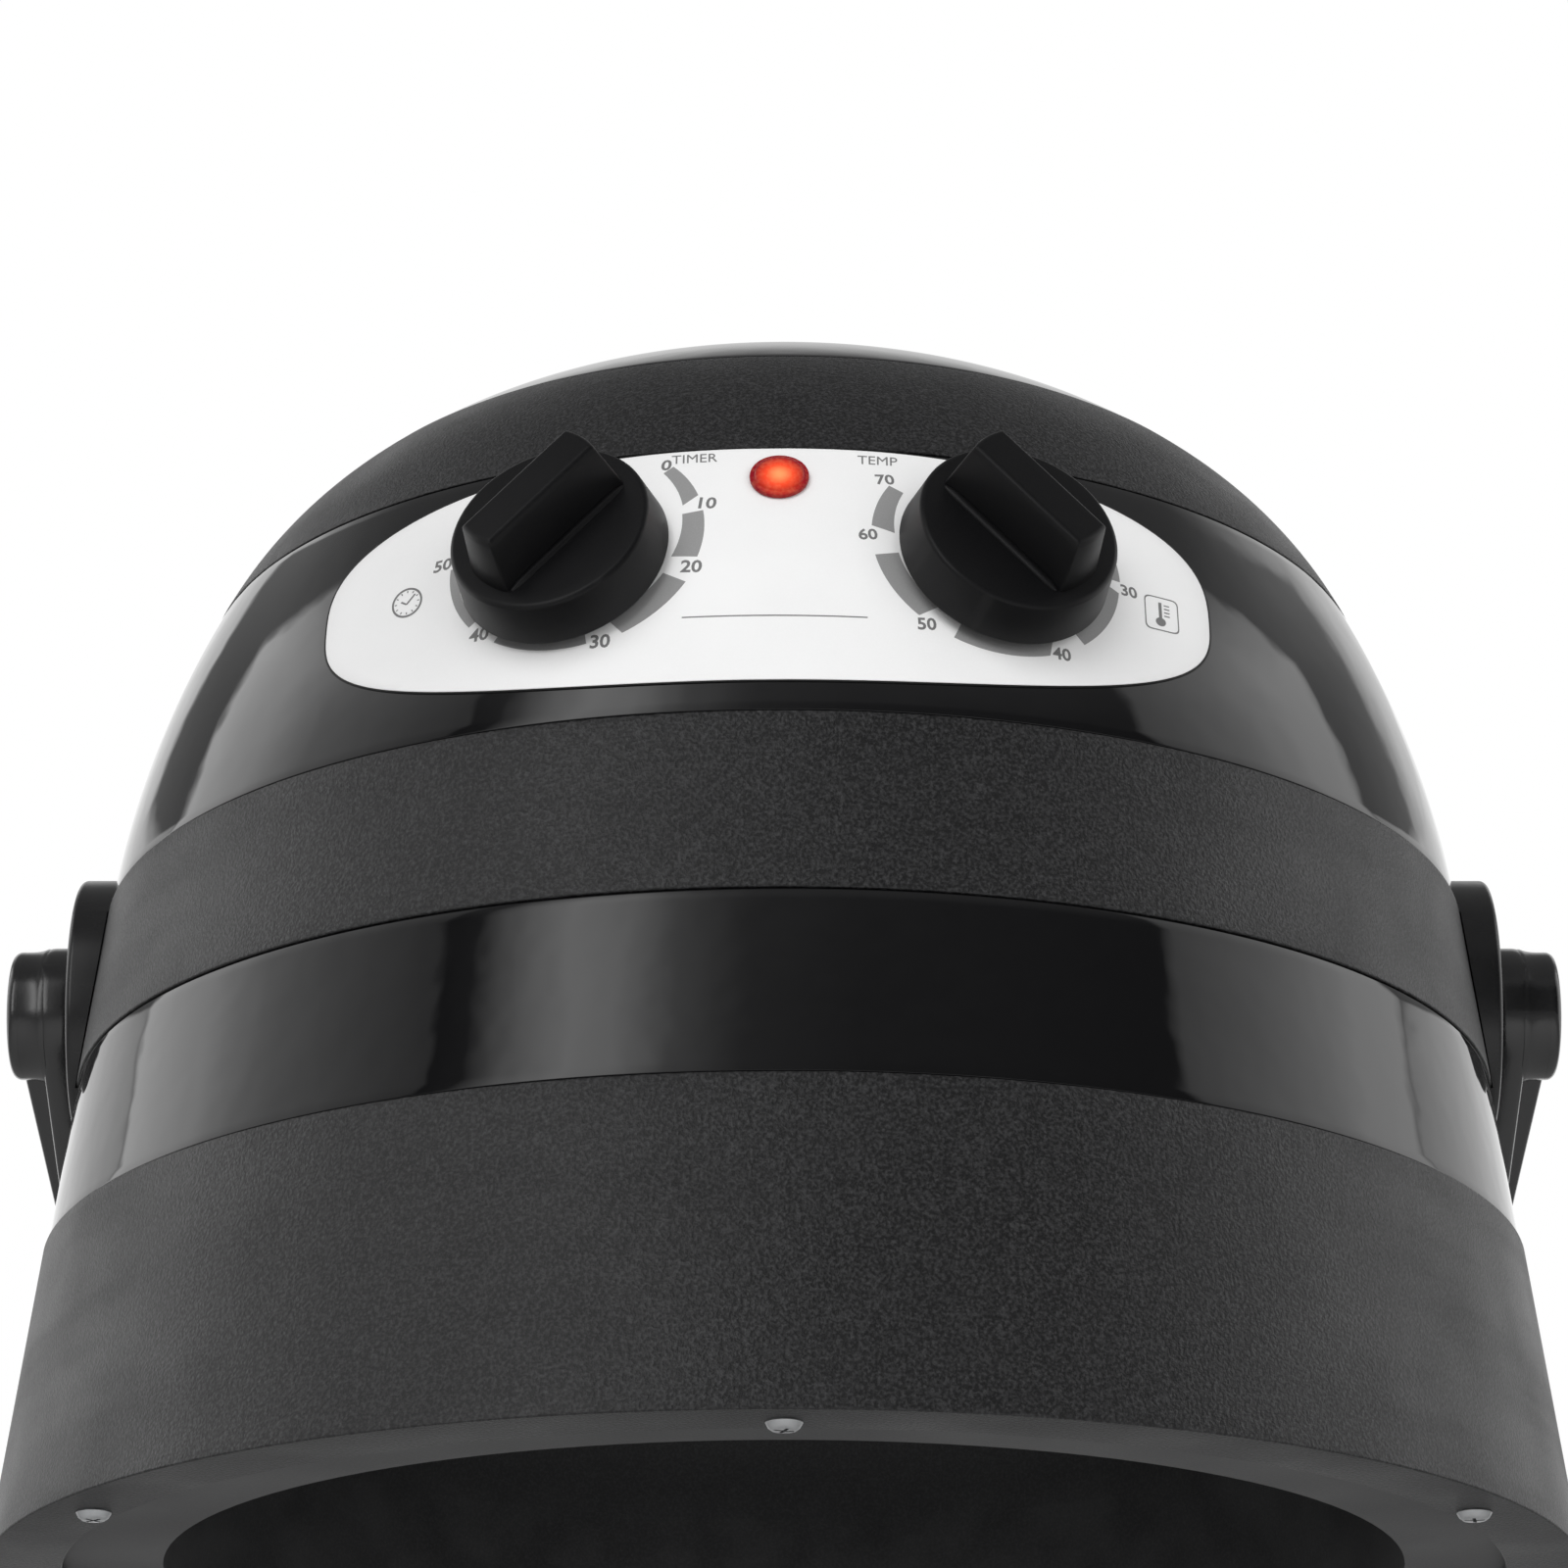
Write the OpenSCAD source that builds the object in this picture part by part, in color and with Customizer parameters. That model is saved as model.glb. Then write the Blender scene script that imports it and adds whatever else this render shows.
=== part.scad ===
// Hood hair dryer on a wheeled stand.
// Floor at z = 0, pole axis at x = y = 0, the hood's front faces -Y.
// Heights named "hood height" are measured from the tilt pivots, up the hood's own axis.

/* [Hood outline] */
// Outer radius of the hood at the top edge of the pivot band
hood_radius = 166.4; // [160:0.1:172]
// Lean of the lower wall from the vertical, in degrees
wall_lean = 7.5; // [6:0.1:8.5]
// Radius of the side curve above the pivot band
side_radius = 221; // [210:1:232]
// Lean at the upper end of the side curve, in degrees
side_end = 28.7; // [27:0.1:30]
// Radius of the shoulder curve
shoulder_radius = 100; // [95:1:106]
// Lean at the upper end of the shoulder curve, in degrees
shoulder_end = 48.8; // [47:0.1:51]
// Radius of the brow curve between shoulder and crown
brow_radius = 132; // [126:1:138]
// Lean at the upper end of the brow curve, in degrees
brow_end = 73; // [70:0.5:76]
// Hood height of the lower rim, below the pivots
rim_low = -143; // [-150:1:-138]
// Hood height of the skirt ring's upper edge
skirt_top = -68; // [-76:0.5:-60]
// Hood height of the pivot band's lower edge
band_low = -25.1; // [-28:0.1:-20]
// Hood height of the pivot band's upper edge
band_top = 17.7; // [15:0.1:20]
// Hood height of the shoulder ring's lower edge
shoulder_low = 90; // [87:0.5:93]
// Hood height of the crown cap's lower edge
crown_low = 126.9; // [122:0.1:131]
// How far the grained rings stand proud of the glossy ones
ring_proud = 0.8; // [0.4:0.1:1.5]
// Wall of the outer rings
ring_wall = 3; // [2.4:0.1:3.6]
// Height of each half of the lip that joins two rings
lip_height = 5; // [4:0.5:6]
// Thickness of the joining lip
lip_wall = 1.6; // [1.2:0.1:2]
// Gap between a joining lip and the ring above it
lip_gap = 0.2; // [0.1:0.05:0.3]
// Thickness of the turned-in rim
rim_wall = 3; // [2:0.5:4]
// Width of the turned-in rim
rim_width = 17; // [14:1:20]

/* [Inner shell] */
// Inside radius of the head space
dome_radius = 147; // [140:1:150]
// Gap between the dome and the heater frame above it
dome_gap = 8.5; // [6:0.5:12]
// Wall of the inner shell
dome_wall = 2.5; // [2:0.1:3]
// Radius of the round diffuser in the top of the dome
diffuser_radius = 92; // [86:1:98]
// Width of the diffuser's rim that lies on the dome
diffuser_rim = 6; // [4:1:8]
// Radius of one diffuser hole
diffuser_hole = 3.6; // [3:0.1:4]
// Number of rings of diffuser holes
diffuser_rings = 3; // [2:1:3]
// Radius step between rings of diffuser holes
diffuser_step = 23; // [20:1:24]
// Number of diffuser holes in the first ring, and added in each further ring
diffuser_count = 7; // [6:1:8]
// Running gap between pieces that only lie beside each other
seat_gap = 0.3; // [0.2:0.05:0.4]

/* [Blower and heater] */
// Thickness of the air deck
deck_wall = 3; // [2.5:0.5:4]
// Number of air slots in the deck
deck_slots = 10; // [8:1:12]
// Width of an air slot
deck_slot_width = 22; // [16:1:26]
// Distance of the air slots from the fan wheel's rim
deck_slot_gap = 8; // [5:1:12]
// Width of the deck outside its air slots
deck_edge = 14; // [10:1:18]
// Radius of the motor can
motor_radius = 33; // [28:1:36]
// Length of the motor can
motor_length = 29; // [24:1:31]
// Width of the motor's mounting flange
motor_flange = 9; // [6:1:12]
// Thickness of the motor's mounting flange
flange_wall = 2; // [1.5:0.25:3]
// Depth of the motor can's floor under the shaft
motor_floor = 4; // [3:0.5:6]
// Radius of the fan shaft
shaft_radius = 4; // [3:0.5:5]
// Radial running clearance of shafts and pins
run_gap = 0.05; // [0.03:0.01:0.08]
// Outer radius of the fan wheel
fan_radius = 62; // [54:1:66]
// Height of the fan blades
blade_height = 18; // [14:1:20]
// Number of fan blades
blade_count = 18; // [12:1:24]
// Thickness of a fan blade
blade_wall = 1.6; // [1.2:0.1:2]
// Radius at which the blades start
blade_in = 34; // [30:1:38]
// Radius of a blade's own curve
blade_sweep = 38; // [36:1:46]
// Distance of the blades' outer ends from the wheel's rim
blade_inset = 1; // [0.5:0.5:2]
// Thickness of the fan's two discs
fan_wall = 2; // [1.5:0.25:2.5]
// Radius of the fan's air eye
fan_eye = 38; // [34:1:42]
// Wall of the fan's hub
fan_hub_wall = 6; // [4:0.5:8]
// Height of the fan's hub
fan_hub_high = 12; // [10:1:14]
// Clearance of the fan above the deck
fan_clear = 3; // [2:0.5:4]
// Radius of the heating coil's ring
coil_radius = 74; // [66:1:78]
// Thickness of the heater frame's sheets
frame_wall = 2; // [1.5:0.25:2.5]
// Gap between the motor and the heater frame
frame_gap = 3; // [1:0.5:5]
// Reach of the heater frame's ring outside the coil
frame_reach = 10; // [8:1:12]
// Radius of the thermal cut-out
cutout_radius = 8; // [6:0.5:9]
// Height of the thermal cut-out
cutout_height = 7; // [5:0.5:8]
// Length of the terminal block
block_length = 32; // [24:1:36]
// Width of the terminal block
block_width = 12; // [10:1:14]
// Height of the terminal block
block_height = 14; // [10:1:16]
// Radius of the coil's wire bundle
coil_wire = 2.6; // [2:0.1:3]
// Height between the two coil rings
coil_pitch = 11; // [9:1:12]
// Radius of the air intake grille in the crown
intake_radius = 50; // [44:1:54]
// Number of slots in each ring of the intake grille
intake_slots = 20; // [16:1:24]
// Width of an intake slot
intake_slot = 3; // [2:0.5:3.5]

/* [Controls] */
// Angle of each knob round the hood from the front, in degrees
knob_azimuth = 18.1; // [16.5:0.1:19.5]
// Hood height of the knob axes at the shell
knob_height = 59.4; // [56:0.1:62]
// Radius of the knob skirt at its foot
knob_radius = 24.7; // [22:0.1:26]
// Narrowing of the knob skirt from foot to top
knob_taper = 1.3; // [0.8:0.1:2]
// Height of the knob skirt
knob_skirt = 11.5; // [9:0.5:13]
// Gap between the panel and the knob skirt
knob_gap = 1.6; // [1:0.1:3]
// Height of the knob's grip above its skirt
grip_height = 14; // [11:0.5:17]
// Length of the grip at its foot
grip_length = 39; // [34:0.5:41]
// Width of the grip at its foot
grip_width = 12; // [10:0.5:14]
// Narrowing of the grip's width from foot to top
grip_taper = 3; // [2:0.5:4]
// Narrowing of the grip's length from foot to top
grip_slope = 5; // [3:0.5:6]
// Radius of the bead along each foot of the grip
grip_bead = 1.2; // [0.8:0.1:1.6]
// Turn of the left grip from the horizontal, in degrees
grip_turn = 50; // [30:1:70]
// Radius of the timer and thermostat spindles
spindle_radius = 3; // [2.5:0.1:3.4]
// Width of the timer and thermostat bodies
switch_width = 38; // [32:1:42]
// Depth of the timer and thermostat bodies
switch_depth = 20; // [16:1:24]
// Half width of the control panel's outline
panel_half = 101; // [96:0.5:103]
// Distance of the panel's centre to the left of the hood's centre
panel_shift = 4; // [2:0.5:6]
// Hood height of the widest line of the panel
panel_mid = 54; // [51:0.5:56]
// Height of the panel's outline below its widest line
panel_drop = 28.8; // [26:0.2:31]
// Fullness of the panel's corners, as the power of its curve
panel_power = 2.85; // [2.4:0.05:3.2]
// Thickness of the panel sheet
panel_wall = 0.4; // [0.3:0.05:0.6]
// Angle of the lamp round the hood from the front, in degrees
lamp_azimuth = -0.4; // [-2:0.1:2]
// Hood height of the lamp
lamp_height = 80; // [78:0.5:81]
// Radius of the lamp lens flange
lamp_radius = 6.75; // [6:0.05:7.5]
// Hood height of the cord gland on the back of the hood
gland_height = 52; // [48:1:58]
// Radius of the cord entry's bore
cord_bore = 3.6; // [3:0.1:4.2]
// Wall of the cord gland
gland_wall = 2.4; // [1.8:0.1:3]
// Reach of the cord gland outside the hood
gland_reach = 12; // [10:0.5:16]
// Depth of the cord gland inside the hood
gland_sink = 8; // [7:0.5:10]
// Width of the cord gland's flange
gland_flange = 3; // [2:0.5:4]
// Thickness of the cord gland's flange
gland_plate = 2.5; // [2:0.25:3]

/* [Pivots and yoke] */
// Height of the tilt pivots above the floor
pivot_height = 1275; // [1240:1:1300]
// Distance from the hood's axis to the pivot pad's outer face
pad_face = 173.6; // [172.8:0.1:175]
// Radius of the pivot pad
pad_radius = 33.5; // [30:0.5:36]
// Radius of the pivot pad's sleeve through the band
sleeve_radius = 11; // [10:0.5:12]
// Length of the sleeve behind the pad's outer face
sleeve_length = 21.6; // [18:0.1:24]
// Thickness of the friction washer
washer_wall = 0.7; // [0.5:0.1:1]
// Radius of the tilt bolt
bolt_radius = 6; // [5:0.5:7]
// Thickness of the yoke arm
arm_wall = 7.5; // [6:0.5:8]
// Radius of the arm's round end at the pivot
arm_end = 16.8; // [16.2:0.2:18]
// Width of the arm where it bends to the hub
arm_width = 26; // [22:1:30]
// Length of the arm's straight part
arm_straight = 107; // [100:1:115]
// Drop of the yoke's plane behind the pivots, in degrees
yoke_drop = 30; // [28:1:33]
// Radius of the pivot boss
boss_radius = 15.8; // [14:0.2:16]
// Length of the boss outside the arm
boss_length = 5.5; // [4.5:0.5:7]
// Thickness of the pivot cap
cap_wall = 2.8; // [2:0.1:4]
// Length of the tapered rib under the boss
rib_length = 88; // [60:1:100]
// Width of the tapered rib
rib_width = 15; // [12:1:18]
// Half width of the hub block
hub_half = 30; // [27:1:34]
// Radius of the hub's upright barrel
barrel_radius = 19; // [17:0.5:21]
// Radius of the swivel spigot
spigot_radius = 9; // [7:0.5:10]

/* [Pole and base] */
// Outer radius of the sliding upper pole
upper_radius = 12.5; // [11.5:0.1:13]
// Wall of the pole tubes
tube_wall = 1.5; // [1.2:0.1:2]
// Outer radius of the fixed lower pole
lower_radius = 16; // [15.8:0.1:17]
// Height of the lower pole's upper end
lower_top = 690; // [650:5:720]
// Height of the upper pole's lower end
upper_low = 520; // [480:5:540]
// Outer radius of the height collar
collar_radius = 22; // [20.5:0.5:25]
// Length of the height collar's grip on the lower pole
collar_length = 40; // [32:1:50]
// Radius of the height knob
height_knob_radius = 19; // [16:0.5:22]
// Number of lobes on the height knob
height_knob_lobes = 6; // [5:1:8]
// Radius of the clamp screw
clamp_radius = 4; // [3:0.5:5]
// Distance from the pole to each castor's swivel
base_radius = 290; // [270:1:310]
// Height of the legs' underside at the castors
leg_low = 58; // [58:1:66]
// Height of a leg at the castor
leg_tip = 17; // [15:1:20]
// Height of a leg at the hub
leg_root = 30; // [26:1:36]
// Width of a leg at the castor
leg_tip_width = 24; // [22:1:27]
// Width of a leg at the hub
leg_root_width = 36; // [32:1:40]
// Distance from the pole to the hub's flats
hub_flat = 38; // [34:1:42]
// Height of the hub's socket above the legs
socket_height = 52; // [40:1:60]
// Wall of the hub's socket
socket_wall = 6; // [4:0.5:8]
// Height of the cone between the hub and its socket
hub_cone = 16; // [10:1:24]
// Width of the flat ledge outside that cone
hub_ledge = 4; // [2:0.5:6]
// Height of the step between the hub's top and its cone
hub_step = 1.5; // [1:0.25:3]
// Thickness of the hub's floor under the pole
hub_floor = 10; // [6:1:14]

/* [Castors] */
// Radius of a castor wheel
wheel_radius = 25; // [24:0.5:26]
// Width of one of the twin wheels
wheel_width = 16; // [13:0.5:18]
// Distance from the swivel axis to the wheel axle
castor_trail = 17; // [14:0.5:20]
// Thickness of the web between the wheels
web_wall = 6; // [5:0.5:8]
// Thickness of the cover over the wheels
cover_wall = 2.2; // [2:0.1:2.6]
// Radius of the castor stem
stem_radius = 5.5; // [4.5:0.5:6]
// Length of the castor stem in the leg
stem_length = 11; // [8:0.5:12]

/* [Hidden] */

ring_fn = 180;
round_fn = 64;
blade_steps = 6;
curve_steps = 8;
far = 400;
leg_count = 5;
leg_angle = 360 / leg_count;

// Yoke sizes that follow from the pad and the arm
arm_in = pad_face + seat_gap + washer_wall;
arm_out = arm_in + arm_wall;
yoke_reach = arm_straight + (arm_in + arm_out) / 2;
hood_y = -yoke_reach * cos(yoke_drop);
hub_z = pivot_height - yoke_reach * sin(yoke_drop);
arm_foot = spigot_radius + 3;
socket_gap = 0.1;

// Hood heights of the air deck, the heater frame's ring and the dome's centre
deck_z = shoulder_low + lip_height;
frame_low = deck_z - motor_length - frame_gap;
dome_centre = frame_low - dome_gap - dome_wall - dome_radius;

// Start point of each stretch of the hood's outline, as radius and hood height
side_start = [hood_radius, band_top];
shoulder_start = arc_point(side_start, side_radius, wall_lean, side_end, 0);
brow_start = arc_point(shoulder_start, shoulder_radius, side_end, shoulder_end, 0);
crown_start = arc_point(brow_start, brow_radius, shoulder_end, brow_end, 0);
crown_radius = crown_start[0] / cos(brow_end);
crown_top = crown_start[1] + crown_radius * (1 - sin(brow_end));

// A point on an arc that starts at a lean of a0, where the lean has become a
function arc_point(start, radius, a0, a, off) =
    start + radius * [cos(a) - cos(a0), sin(a) - sin(a0)] + off * [cos(a), sin(a)];

function arc_points(start, radius, a0, a1, off) =
    [for (i = [1 : curve_steps]) arc_point(start, radius, a0, a0 + (a1 - a0) * i / curve_steps, off)];

function wall_point(z, off) =
    [hood_radius + (band_top - z) * tan(wall_lean) + off / cos(wall_lean), z];

// The hood's outline from below the rim up to the axis, moved outwards by off
function outline(off) = concat(
    [wall_point(rim_low - 20, off), arc_point(side_start, side_radius, wall_lean, wall_lean, off)],
    arc_points(side_start, side_radius, wall_lean, side_end, off),
    arc_points(shoulder_start, shoulder_radius, side_end, shoulder_end, off),
    arc_points(brow_start, brow_radius, shoulder_end, brow_end, off),
    arc_points(crown_start, crown_radius, brow_end, 90, off));

function reversed(list) = [for (i = [len(list) - 1 : -1 : 0]) list[i]];

function lean_on(start, radius, a0, z, off) =
    asin((z - start[1] + radius * sin(a0)) / (radius + off));

function radius_on(start, radius, a0, z, off) =
    arc_point(start, radius, a0, lean_on(start, radius, a0, z, off), off)[0];

// Radius of the outline at a hood height, moved outwards by off
function radius_at(z, off = 0) =
    z <= side_start[1] ? wall_point(z, off)[0]
    : z <= shoulder_start[1] + off * sin(side_end) ? radius_on(side_start, side_radius, wall_lean, z, off)
    : z <= brow_start[1] + off * sin(shoulder_end)
        ? radius_on(shoulder_start, shoulder_radius, side_end, z, off)
    : z <= crown_start[1] + off * sin(brow_end)
        ? radius_on(brow_start, brow_radius, shoulder_end, z, off)
    : radius_on(crown_start, crown_radius, brow_end, z, off);

// Lean of the side curve at a hood height
function side_lean(z) = lean_on(side_start, side_radius, wall_lean, z, 0);

// ---------- places ----------

module at_hood() {
    translate([0, hood_y, pivot_height]) children();
}

// Local z points out of the hood's shell, local y up along it
module on_shell(azimuth, z) {
    at_hood()
        rotate([0, 0, azimuth])
            translate([0, -radius_at(z), z])
                rotate([90 - side_lean(z), 0, 0])
                    children();
}

// Local y runs along the yoke arms, local z is square to the yoke's plane
module in_yoke() {
    at_hood() rotate([-yoke_drop, 0, 0]) children();
}

// Local z points along +X (side = 1) or -X (side = -1) from the pivot line
module at_pivot(side) {
    at_hood() rotate([0, side * 90, 0]) children();
}

module at_leg(i) {
    rotate([0, 0, -90 + leg_angle * (i - 1)]) children();
}

module at_castor(i) {
    at_leg(i) translate([base_radius, 0, 0]) rotate([0, 0, 90 - leg_angle * (i - 1)]) children();
}

// ---------- hood rings ----------

module wall_slice(z0, z1, off_out, off_in) {
    intersection() {
        polygon(concat(outline(off_out), reversed(outline(off_in))));
        translate([0, z0]) square([far, z1 - z0]);
    }
}

module ring(z0, z1, proud, lip = true) {
    rotate_extrude($fn = ring_fn) {
        wall_slice(z0, z1, proud, -ring_wall);
        if (lip) {
            wall_slice(z1 - lip_height, z1, -ring_wall / 2, -ring_wall - lip_gap - lip_wall);
            wall_slice(z1 - lip_height, z1 + lip_height,
                -ring_wall - lip_gap, -ring_wall - lip_gap - lip_wall);
        }
    }
}

module crown_cap() {
    color("#202022") at_hood() difference() {
        ring(crown_low, crown_top + 1, 0, lip = false);
        translate([0, 0, crown_low]) cylinder(r = intake_radius + lip_gap, h = far, $fn = round_fn);
    }
}

module intake_slot_cut(inner, outer, z) {
    translate([(inner + outer) / 2, 0, z])
        cube([outer - inner, intake_slot, far / 4], center = true);
}

module flat_ring(outer, inner, low, height) {
    translate([0, 0, low]) difference() {
        cylinder(r = outer, h = height, $fn = round_fn);
        translate([0, 0, -1]) cylinder(r = inner, h = height + 2, $fn = round_fn);
    }
}

module intake_grille() {
    split = intake_radius * 0.56;
    flange_top = crown_height(intake_radius + lip_height) - ring_wall - lip_gap;
    collar_top = crown_height(intake_radius) - ring_wall / 2;
    color("#1b1b1d") at_hood() difference() {
        union() {
            intersection() {
                ring(crown_low, crown_top + 1, 0, lip = false);
                translate([0, 0, crown_low]) cylinder(r = intake_radius, h = far, $fn = round_fn);
            }
            flat_ring(intake_radius + lip_height, intake_radius - lip_wall, flange_top - lip_wall, lip_wall);
            flat_ring(intake_radius, intake_radius - lip_wall, flange_top - lip_wall,
                collar_top - flange_top + lip_wall);
        }
        for (i = [0 : intake_slots - 1])
            rotate([0, 0, i * 360 / intake_slots])
                intake_slot_cut(split + 3, intake_radius - 5, crown_top);
        for (i = [0 : intake_slots / 2 - 1])
            rotate([0, 0, i * 720 / intake_slots])
                intake_slot_cut(split / 2.4, split - 3, crown_top);
    }
}

// Hood height of the crown's outer face at a radius
function crown_height(r) =
    crown_start[1] + crown_radius * (sin(acos(r / crown_radius)) - sin(brow_end));

module shoulder_ring() {
    color("#3c3c3e") at_hood() ring(shoulder_low, crown_low, ring_proud);
}

module knob_hole(azimuth) {
    on_shell(azimuth, knob_height)
        translate([0, 0, -ring_wall * 4])
            cylinder(r = spindle_radius + 2, h = ring_wall * 8, $fn = round_fn);
}

module control_shell() {
    color("#202022") difference() {
        at_hood() ring(band_top, shoulder_low, 0);
        for (side = [-1, 1]) knob_hole(side * knob_azimuth);
        on_shell(lamp_azimuth, lamp_height)
            translate([0, 0, -ring_wall * 2])
                cylinder(r = lamp_radius - 1, h = ring_wall * 4, $fn = round_fn);
        at_gland() translate([0, 0, -ring_wall * 3])
            cylinder(r = gland_stem + lip_gap, h = ring_wall * 6, $fn = round_fn);
    }
}

module pivot_band() {
    color("#3c3c3e") difference() {
        at_hood() ring(band_low, band_top, ring_proud);
        for (side = [-1, 1])
            at_pivot(side)
                translate([0, 0, pad_face - sleeve_length])
                    cylinder(r = sleeve_radius + lip_gap, h = sleeve_length * 2, $fn = round_fn);
    }
}

module lower_shell() {
    color("#202022") at_hood() ring(skirt_top, band_low, 0);
}

rim_screw_radius = 2;
rim_screw_count = 6;
// The middle of the turned-in rim, where its screws stand
rim_screw_ring = radius_at(rim_low + rim_wall, -rim_width * 0.6);

module at_rim_screws() {
    for (i = [0 : rim_screw_count - 1])
        rotate([0, 0, (i + 0.5) * 360 / rim_screw_count])
            translate([rim_screw_ring, 0, 0]) children();
}

module skirt_ring() {
    color("#3c3c3e") at_hood() difference() {
        union() {
            ring(rim_low, skirt_top, ring_proud);
            rotate_extrude($fn = ring_fn)
                wall_slice(rim_low, rim_low + rim_wall, -ring_wall / 2, -rim_width);
        }
        at_rim_screws() translate([0, 0, rim_low - 1])
            cylinder(r = rim_screw_radius + run_gap, h = rim_wall + 2, $fn = 32);
    }
}

module rim_screws() {
    color("#8b8b8f") at_hood() at_rim_screws() {
        translate([0, 0, rim_low - rim_screw_radius])
            cylinder(r1 = rim_screw_radius * 1.6, r2 = rim_screw_radius * 2,
                h = rim_screw_radius, $fn = 32);
        translate([0, 0, rim_low])
            cylinder(r = rim_screw_radius, h = rim_wall + dome_wall + 3, $fn = 32);
    }
}

// ---------- inner shell, blower and heater ----------

module dome_section(inner, wall) {
    difference() {
        translate([0, dome_centre]) circle(r = inner + wall, $fn = ring_fn);
        translate([0, dome_centre]) circle(r = inner, $fn = ring_fn);
        translate([-far, dome_centre - far * 2]) square([far * 2, far * 2]);
        translate([-far, dome_centre - far]) square([far, far * 2]);
    }
}

module inner_shell() {
    color("#2a2a2c") at_hood() rotate_extrude($fn = ring_fn) difference() {
        dome_section(dome_radius, dome_wall);
        translate([0, dome_centre]) square([diffuser_radius, far]);
    }
}

// The straight wall under the dome, with the flange that stands on the turned-in rim
module inner_wall() {
    flange_z = rim_low + rim_wall;
    flange_out = radius_at(flange_z + dome_wall, -ring_wall - seat_gap);
    color("#2a2a2c") at_hood() difference() {
        rotate_extrude($fn = ring_fn) {
            translate([dome_radius, flange_z]) square([dome_wall, dome_centre - flange_z]);
            translate([dome_radius, flange_z]) square([flange_out - dome_radius, dome_wall]);
        }
        at_rim_screws() translate([0, 0, flange_z - 1])
            cylinder(r = rim_screw_radius + run_gap, h = dome_wall + 2, $fn = 32);
    }
}

module air_diffuser() {
    color("#2a2a2c") at_hood() difference() {
        rotate_extrude($fn = ring_fn) {
            intersection() {
                dome_section(dome_radius, dome_wall);
                translate([0, dome_centre]) square([diffuser_radius - seat_gap, far]);
            }
            intersection() {
                dome_section(dome_radius + dome_wall / 2, dome_wall * 1.5);
                translate([diffuser_radius - diffuser_rim - 2, dome_centre])
                    square([diffuser_rim + 2 - seat_gap, far]);
            }
            intersection() {
                dome_section(dome_radius + dome_wall + run_gap, dome_wall);
                translate([diffuser_radius - diffuser_rim, dome_centre])
                    square([diffuser_rim * 2, far]);
            }
        }
        cylinder(r = diffuser_hole, h = far, $fn = 24);
        for (row = [1 : diffuser_rings], i = [0 : row * diffuser_count - 1])
            rotate([0, 0, i * 360 / (row * diffuser_count)])
                translate([row * diffuser_step, 0, 0])
                    cylinder(r = diffuser_hole, h = far, $fn = 24);
    }
}

deck_radius = radius_at(deck_z + deck_wall, -ring_wall - seat_gap) - seat_gap;

module air_deck() {
    slot_in = fan_radius + deck_slot_gap;
    slot_out = deck_radius - deck_edge;
    color("#b9bcc0") at_hood() translate([0, 0, deck_z]) difference() {
        cylinder(r = deck_radius, h = deck_wall, $fn = ring_fn);
        translate([0, 0, -1]) cylinder(r = shaft_radius * 2, h = deck_wall + 2, $fn = round_fn);
        for (i = [0 : deck_slots - 1])
            rotate([0, 0, i * 360 / deck_slots])
                translate([(slot_in + slot_out) / 2, 0, deck_wall / 2])
                    cube([slot_out - slot_in, deck_slot_width, deck_wall + 2], center = true);
    }
}

module motor_body() {
    color("#9a9da1") at_hood() translate([0, 0, deck_z - motor_length]) difference() {
        union() {
            cylinder(r = motor_radius, h = motor_length, $fn = round_fn);
            translate([0, 0, motor_length - flange_wall])
                cylinder(r = motor_radius + motor_flange, h = flange_wall, $fn = round_fn);
        }
        translate([0, 0, motor_floor])
            cylinder(r = shaft_radius + run_gap, h = motor_length, $fn = round_fn);
    }
}

fan_floor = deck_z + deck_wall + fan_clear;

module fan_shaft() {
    low = deck_z - motor_length + motor_floor + 1;
    color("#b9bcc0") at_hood() translate([0, 0, low])
        cylinder(r = shaft_radius, h = fan_floor + fan_hub_high + 2 - low, $fn = round_fn);
}

function blade_turn(r) = 2 * asin(r / (2 * blade_sweep));

// One long side of a blade, whose curve starts out from the shaft and bends back
function blade_side(off) =
    let (first = blade_turn(blade_in), last = blade_turn(fan_radius - blade_inset))
    [for (i = [0 : blade_steps])
        let (turn = first + (last - first) * i / blade_steps)
        (blade_sweep + off) * [sin(turn), cos(turn)] - [0, blade_sweep]];

module fan_blade() {
    linear_extrude(height = blade_height + fan_wall)
        polygon(concat(blade_side(0), reversed(blade_side(blade_wall))));
}

module fan_wheel() {
    color("#d8d8d4") at_hood() translate([0, 0, fan_floor]) {
        difference() {
            union() {
                cylinder(r = fan_radius, h = fan_wall, $fn = round_fn);
                cylinder(r = shaft_radius + fan_hub_wall, h = fan_hub_high, $fn = round_fn);
            }
            translate([0, 0, -1])
                cylinder(r = shaft_radius + run_gap, h = fan_hub_high + 2, $fn = round_fn);
        }
        translate([0, 0, fan_wall / 2])
            for (i = [0 : blade_count - 1])
                rotate([0, 0, i * 360 / blade_count]) fan_blade();
        translate([0, 0, fan_wall + blade_height]) difference() {
            cylinder(r = fan_radius, h = fan_wall, $fn = round_fn);
            translate([0, 0, -1]) cylinder(r = fan_eye, h = fan_wall + 2, $fn = round_fn);
        }
    }
}

coil_low = frame_low + cutout_height;

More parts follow.
